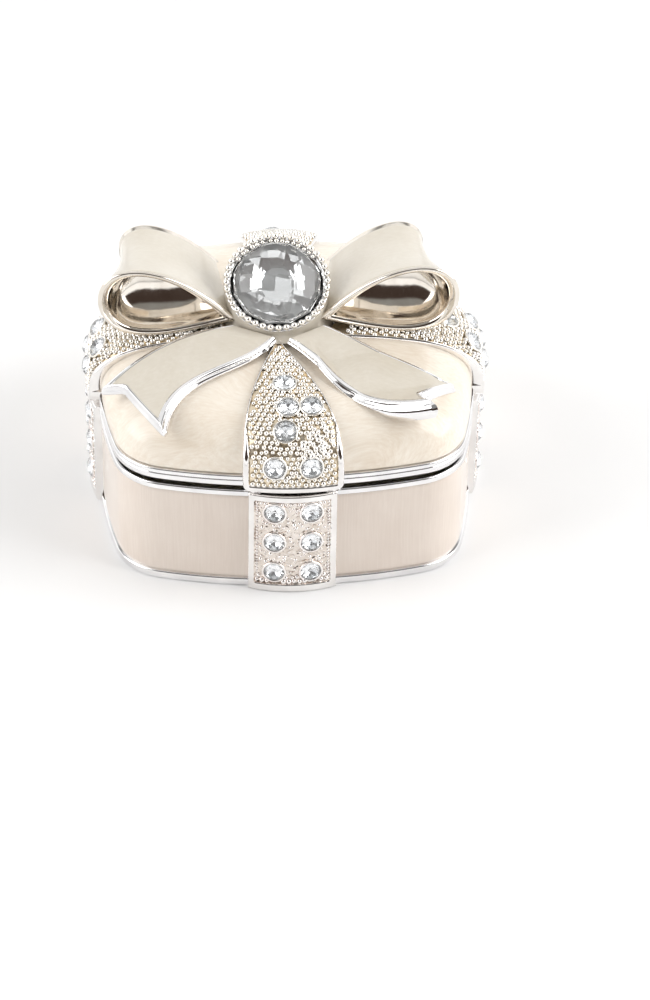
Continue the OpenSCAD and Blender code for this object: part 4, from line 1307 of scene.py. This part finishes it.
def bow_tail(edges, notch, depth, name):
    """One tail of the bow: silver with a rounded shoulder round the enamel, thick at its inner edge."""
    width, length = 8.5, 26.0
    v, v_edge = edge_stations(width, 16)
    u, u_edge = edge_stations(length, 60)
    u_edge = np.where(u < 0.5, width, u_edge)
    d = np.minimum(u_edge[:, None], v_edge[None, :])
    rim, crest = 0.58, 0.2
    relief = crest - rim * edge_roll(d, rim)
    relief = np.where(d > rim + 0.12, -0.1, relief)
    uu = tail_u(u[:, None], v[None, :], notch)
    base = tail_surface(edges, uu, v[None, :])
    n = upward_normals(base)
    top = base + n * relief[..., None]
    thick = mix(1.0, TAIL_THICKNESS, uu) + depth * smooth(uu, 0.45, 0.95) * (1 - v[None, :]) ** 2
    low = base - n * thick[..., None]
    low[..., 2] = np.maximum(low[..., 2], lid_top(base[..., 0], base[..., 1], DEG) - 0.1)
    bulge = 0.2 + 0.34 * np.minimum(1.5, thick - 1)
    band = slab(top, low, bulge, steps=7)
    make("bow_tail_band_" + name, "lid", band, SILVER, ("bow_tail_" + name,))

    margin = 0.5
    share_v = mix(margin / width, 1 - margin / width, v)
    span_u = tail_u(u[:, None], share_v[None, :], notch) * (1 - margin / length)
    base = tail_surface(edges, span_u, share_v[None, :])
    n = upward_normals(base)
    skin = slab(base + n * (0.16 - 0.14 * edge_roll(d, 0.45))[..., None], base - n * 0.3)
    make("tail_enamel_skin_" + name, "lid", skin, BOW_ENAMEL, ("tail_enamel_" + name,))


# ---- build ----

base_shell()
base_lining()
base_boss()
lid_shell()
lid_lining()
lid_boss()
for k in range(4):
    base_enamel_panel(k)
    base_ribbon(k)
    lid_enamel_panel(k)
    lid_ribbon(k)
knot_skirt()
knot_bezel()
bead_ring()
stone()
for side, name in ((-1, "left"), (1, "right")):
    bow_loop(side, name)
    loop_enamel(side, name)
bow_tail((TAIL_LEFT_INNER, TAIL_LEFT_OUTER), (0.76, 0.075), 0.2, "left")
bow_tail((TAIL_RIGHT_INNER, TAIL_RIGHT_OUTER), (0.36, 0.09), 1.2, "right")

# the hinge and the magnets keep their CAD shapes and get finished materials
HINGE_NODES = ("hinge_base_leaf", "hinge_lid_leaf", "hinge_base_rivets", "hinge_lid_rivets", "hinge_pin")
for node in HINGE_NODES + ("base_magnet", "lid_magnet"):
    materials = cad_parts[node].data.materials
    materials.clear()
    materials.append(HINGE_METAL if node in HINGE_NODES else MAGNET)


# ---- stage, light and camera ----

def stage_floor():
    """A wide sheet of white paper."""
    mesh = bpy.data.meshes.new("floor")
    size = 3.0
    corners = [(-size, -size, 0), (size, -size, 0), (size, size, 0), (-size, size, 0)]
    mesh.from_pydata(corners, [], [(0, 1, 2, 3)])
    floor = bpy.data.objects.new("floor", mesh)
    bpy.context.scene.collection.objects.link(floor)
    m = Nodes(bpy.data.materials.new("floor_paper"))
    fibre = m.noise(m.place(), 40.0, 2.0)
    tone = m.ramp(fibre, "Fac", ((0.3, linear(247, 247, 247)), (0.7, linear(250, 250, 250))))
    m.link(tone, "Color", m.shader, "Base Color")
    m.set(Roughness=0.9, Specular_IOR_Level=0.1)
    mesh.materials.append(m.block)


def softbox(name, place, size, power):
    """A rectangular lamp in metres and watts, aimed at the middle of the box."""
    light = bpy.data.lights.new(name, "AREA")
    light.shape = "RECTANGLE"
    light.size, light.size_y = size
    light.energy = power
    lamp = bpy.data.objects.new(name, light)
    lamp.location = place
    lamp.rotation_euler = (Vector(BOX_MIDDLE) - Vector(place)).to_track_quat("-Z", "Y").to_euler()
    bpy.context.scene.collection.objects.link(lamp)


# direction from the box to the photographer
VIEW_AZIMUTH = -2.852 * DEG
VIEW_ELEVATION = 35.621 * DEG
VIEW_ROLL = 0.665 * DEG
VIEW_BACK = Vector((
    math.sin(VIEW_AZIMUTH) * math.cos(VIEW_ELEVATION), -math.cos(VIEW_AZIMUTH) * math.cos(VIEW_ELEVATION),
    math.sin(VIEW_ELEVATION)))
CAMERA_PLACE = (-0.02038, -0.41704, 0.31079)
CAMERA_LENS = 121.94
CAMERA_SHIFT = (0.038, -0.090)
BOX_MIDDLE = (0, 0, 0.02)

# colour of the room by the sine of the elevation, at the sides and back and at the front
WALL = (1.22, 1.22, 1.22, 1)
DARK = (0.06, 0.042, 0.035, 1)
CEILING = (0.28, 0.278, 0.27, 1)
WALL_BANDS = ((0.0, WALL), (0.52, WALL), (0.64, CEILING), (1.0, CEILING))
FRONT_BANDS = ((0.0, WALL), (0.2, WALL), (0.26, DARK), (0.68, DARK), (0.76, CEILING), (1.0, CEILING))
# how squarely a direction faces the front where the dark end begins and where it is full
FRONT_EDGE = ((0.34, (0, 0, 0, 1)), (0.5, (1, 1, 1, 1)))


def studio_world():
    """White walls and a dim ceiling, with the dark end of the room behind the photographer."""
    w = Nodes(bpy.data.worlds.new("studio"), "Background")
    parts = w.add("ShaderNodeSeparateXYZ")
    w.link(w.add("ShaderNodeTexCoord"), "Generated", parts, 0)
    front = w.add("ShaderNodeMath", operation="MULTIPLY")
    front.inputs[1].default_value = -1.0
    w.link(parts, "Y", front, 0)
    room = w.blend(w.ramp(parts, "Z", WALL_BANDS), w.ramp(parts, "Z", FRONT_BANDS))
    w.link(w.ramp(front, 0, FRONT_EDGE), "Color", room, "Factor")
    w.link(room, MIX_RESULT, w.shader, "Color")
    w.set(Strength=1.0)
    bpy.context.scene.world = w.block


def photo_camera():
    """Above and a little to the left of the front, at the distance of a product shot."""
    right = Vector((math.cos(VIEW_AZIMUTH), math.sin(VIEW_AZIMUTH), 0))
    up = VIEW_BACK.cross(right)
    turned_right = right * math.cos(VIEW_ROLL) + up * math.sin(VIEW_ROLL)
    turned_up = up * math.cos(VIEW_ROLL) - right * math.sin(VIEW_ROLL)
    data = bpy.data.cameras.new("camera")
    data.sensor_fit = "VERTICAL"
    data.sensor_height = 36
    data.lens = CAMERA_LENS
    data.shift_x, data.shift_y = CAMERA_SHIFT
    data.clip_start = 0.01
    data.clip_end = 50
    camera = bpy.data.objects.new("camera", data)
    camera.location = CAMERA_PLACE
    camera.rotation_euler = Matrix((turned_right, turned_up, VIEW_BACK)).transposed().to_euler()
    bpy.context.scene.collection.objects.link(camera)
    bpy.context.scene.camera = camera


stage_floor()
softbox("left", (-0.55, -0.1, 0.4), (0.5, 0.6), 2.4)
softbox("right", (0.55, -0.1, 0.4), (0.5, 0.6), 3.2)
softbox("back", (0.0, 0.2, 0.64), (0.7, 0.55), 0.85)
studio_world()
photo_camera()
bpy.context.scene.view_settings.view_transform = "Standard"
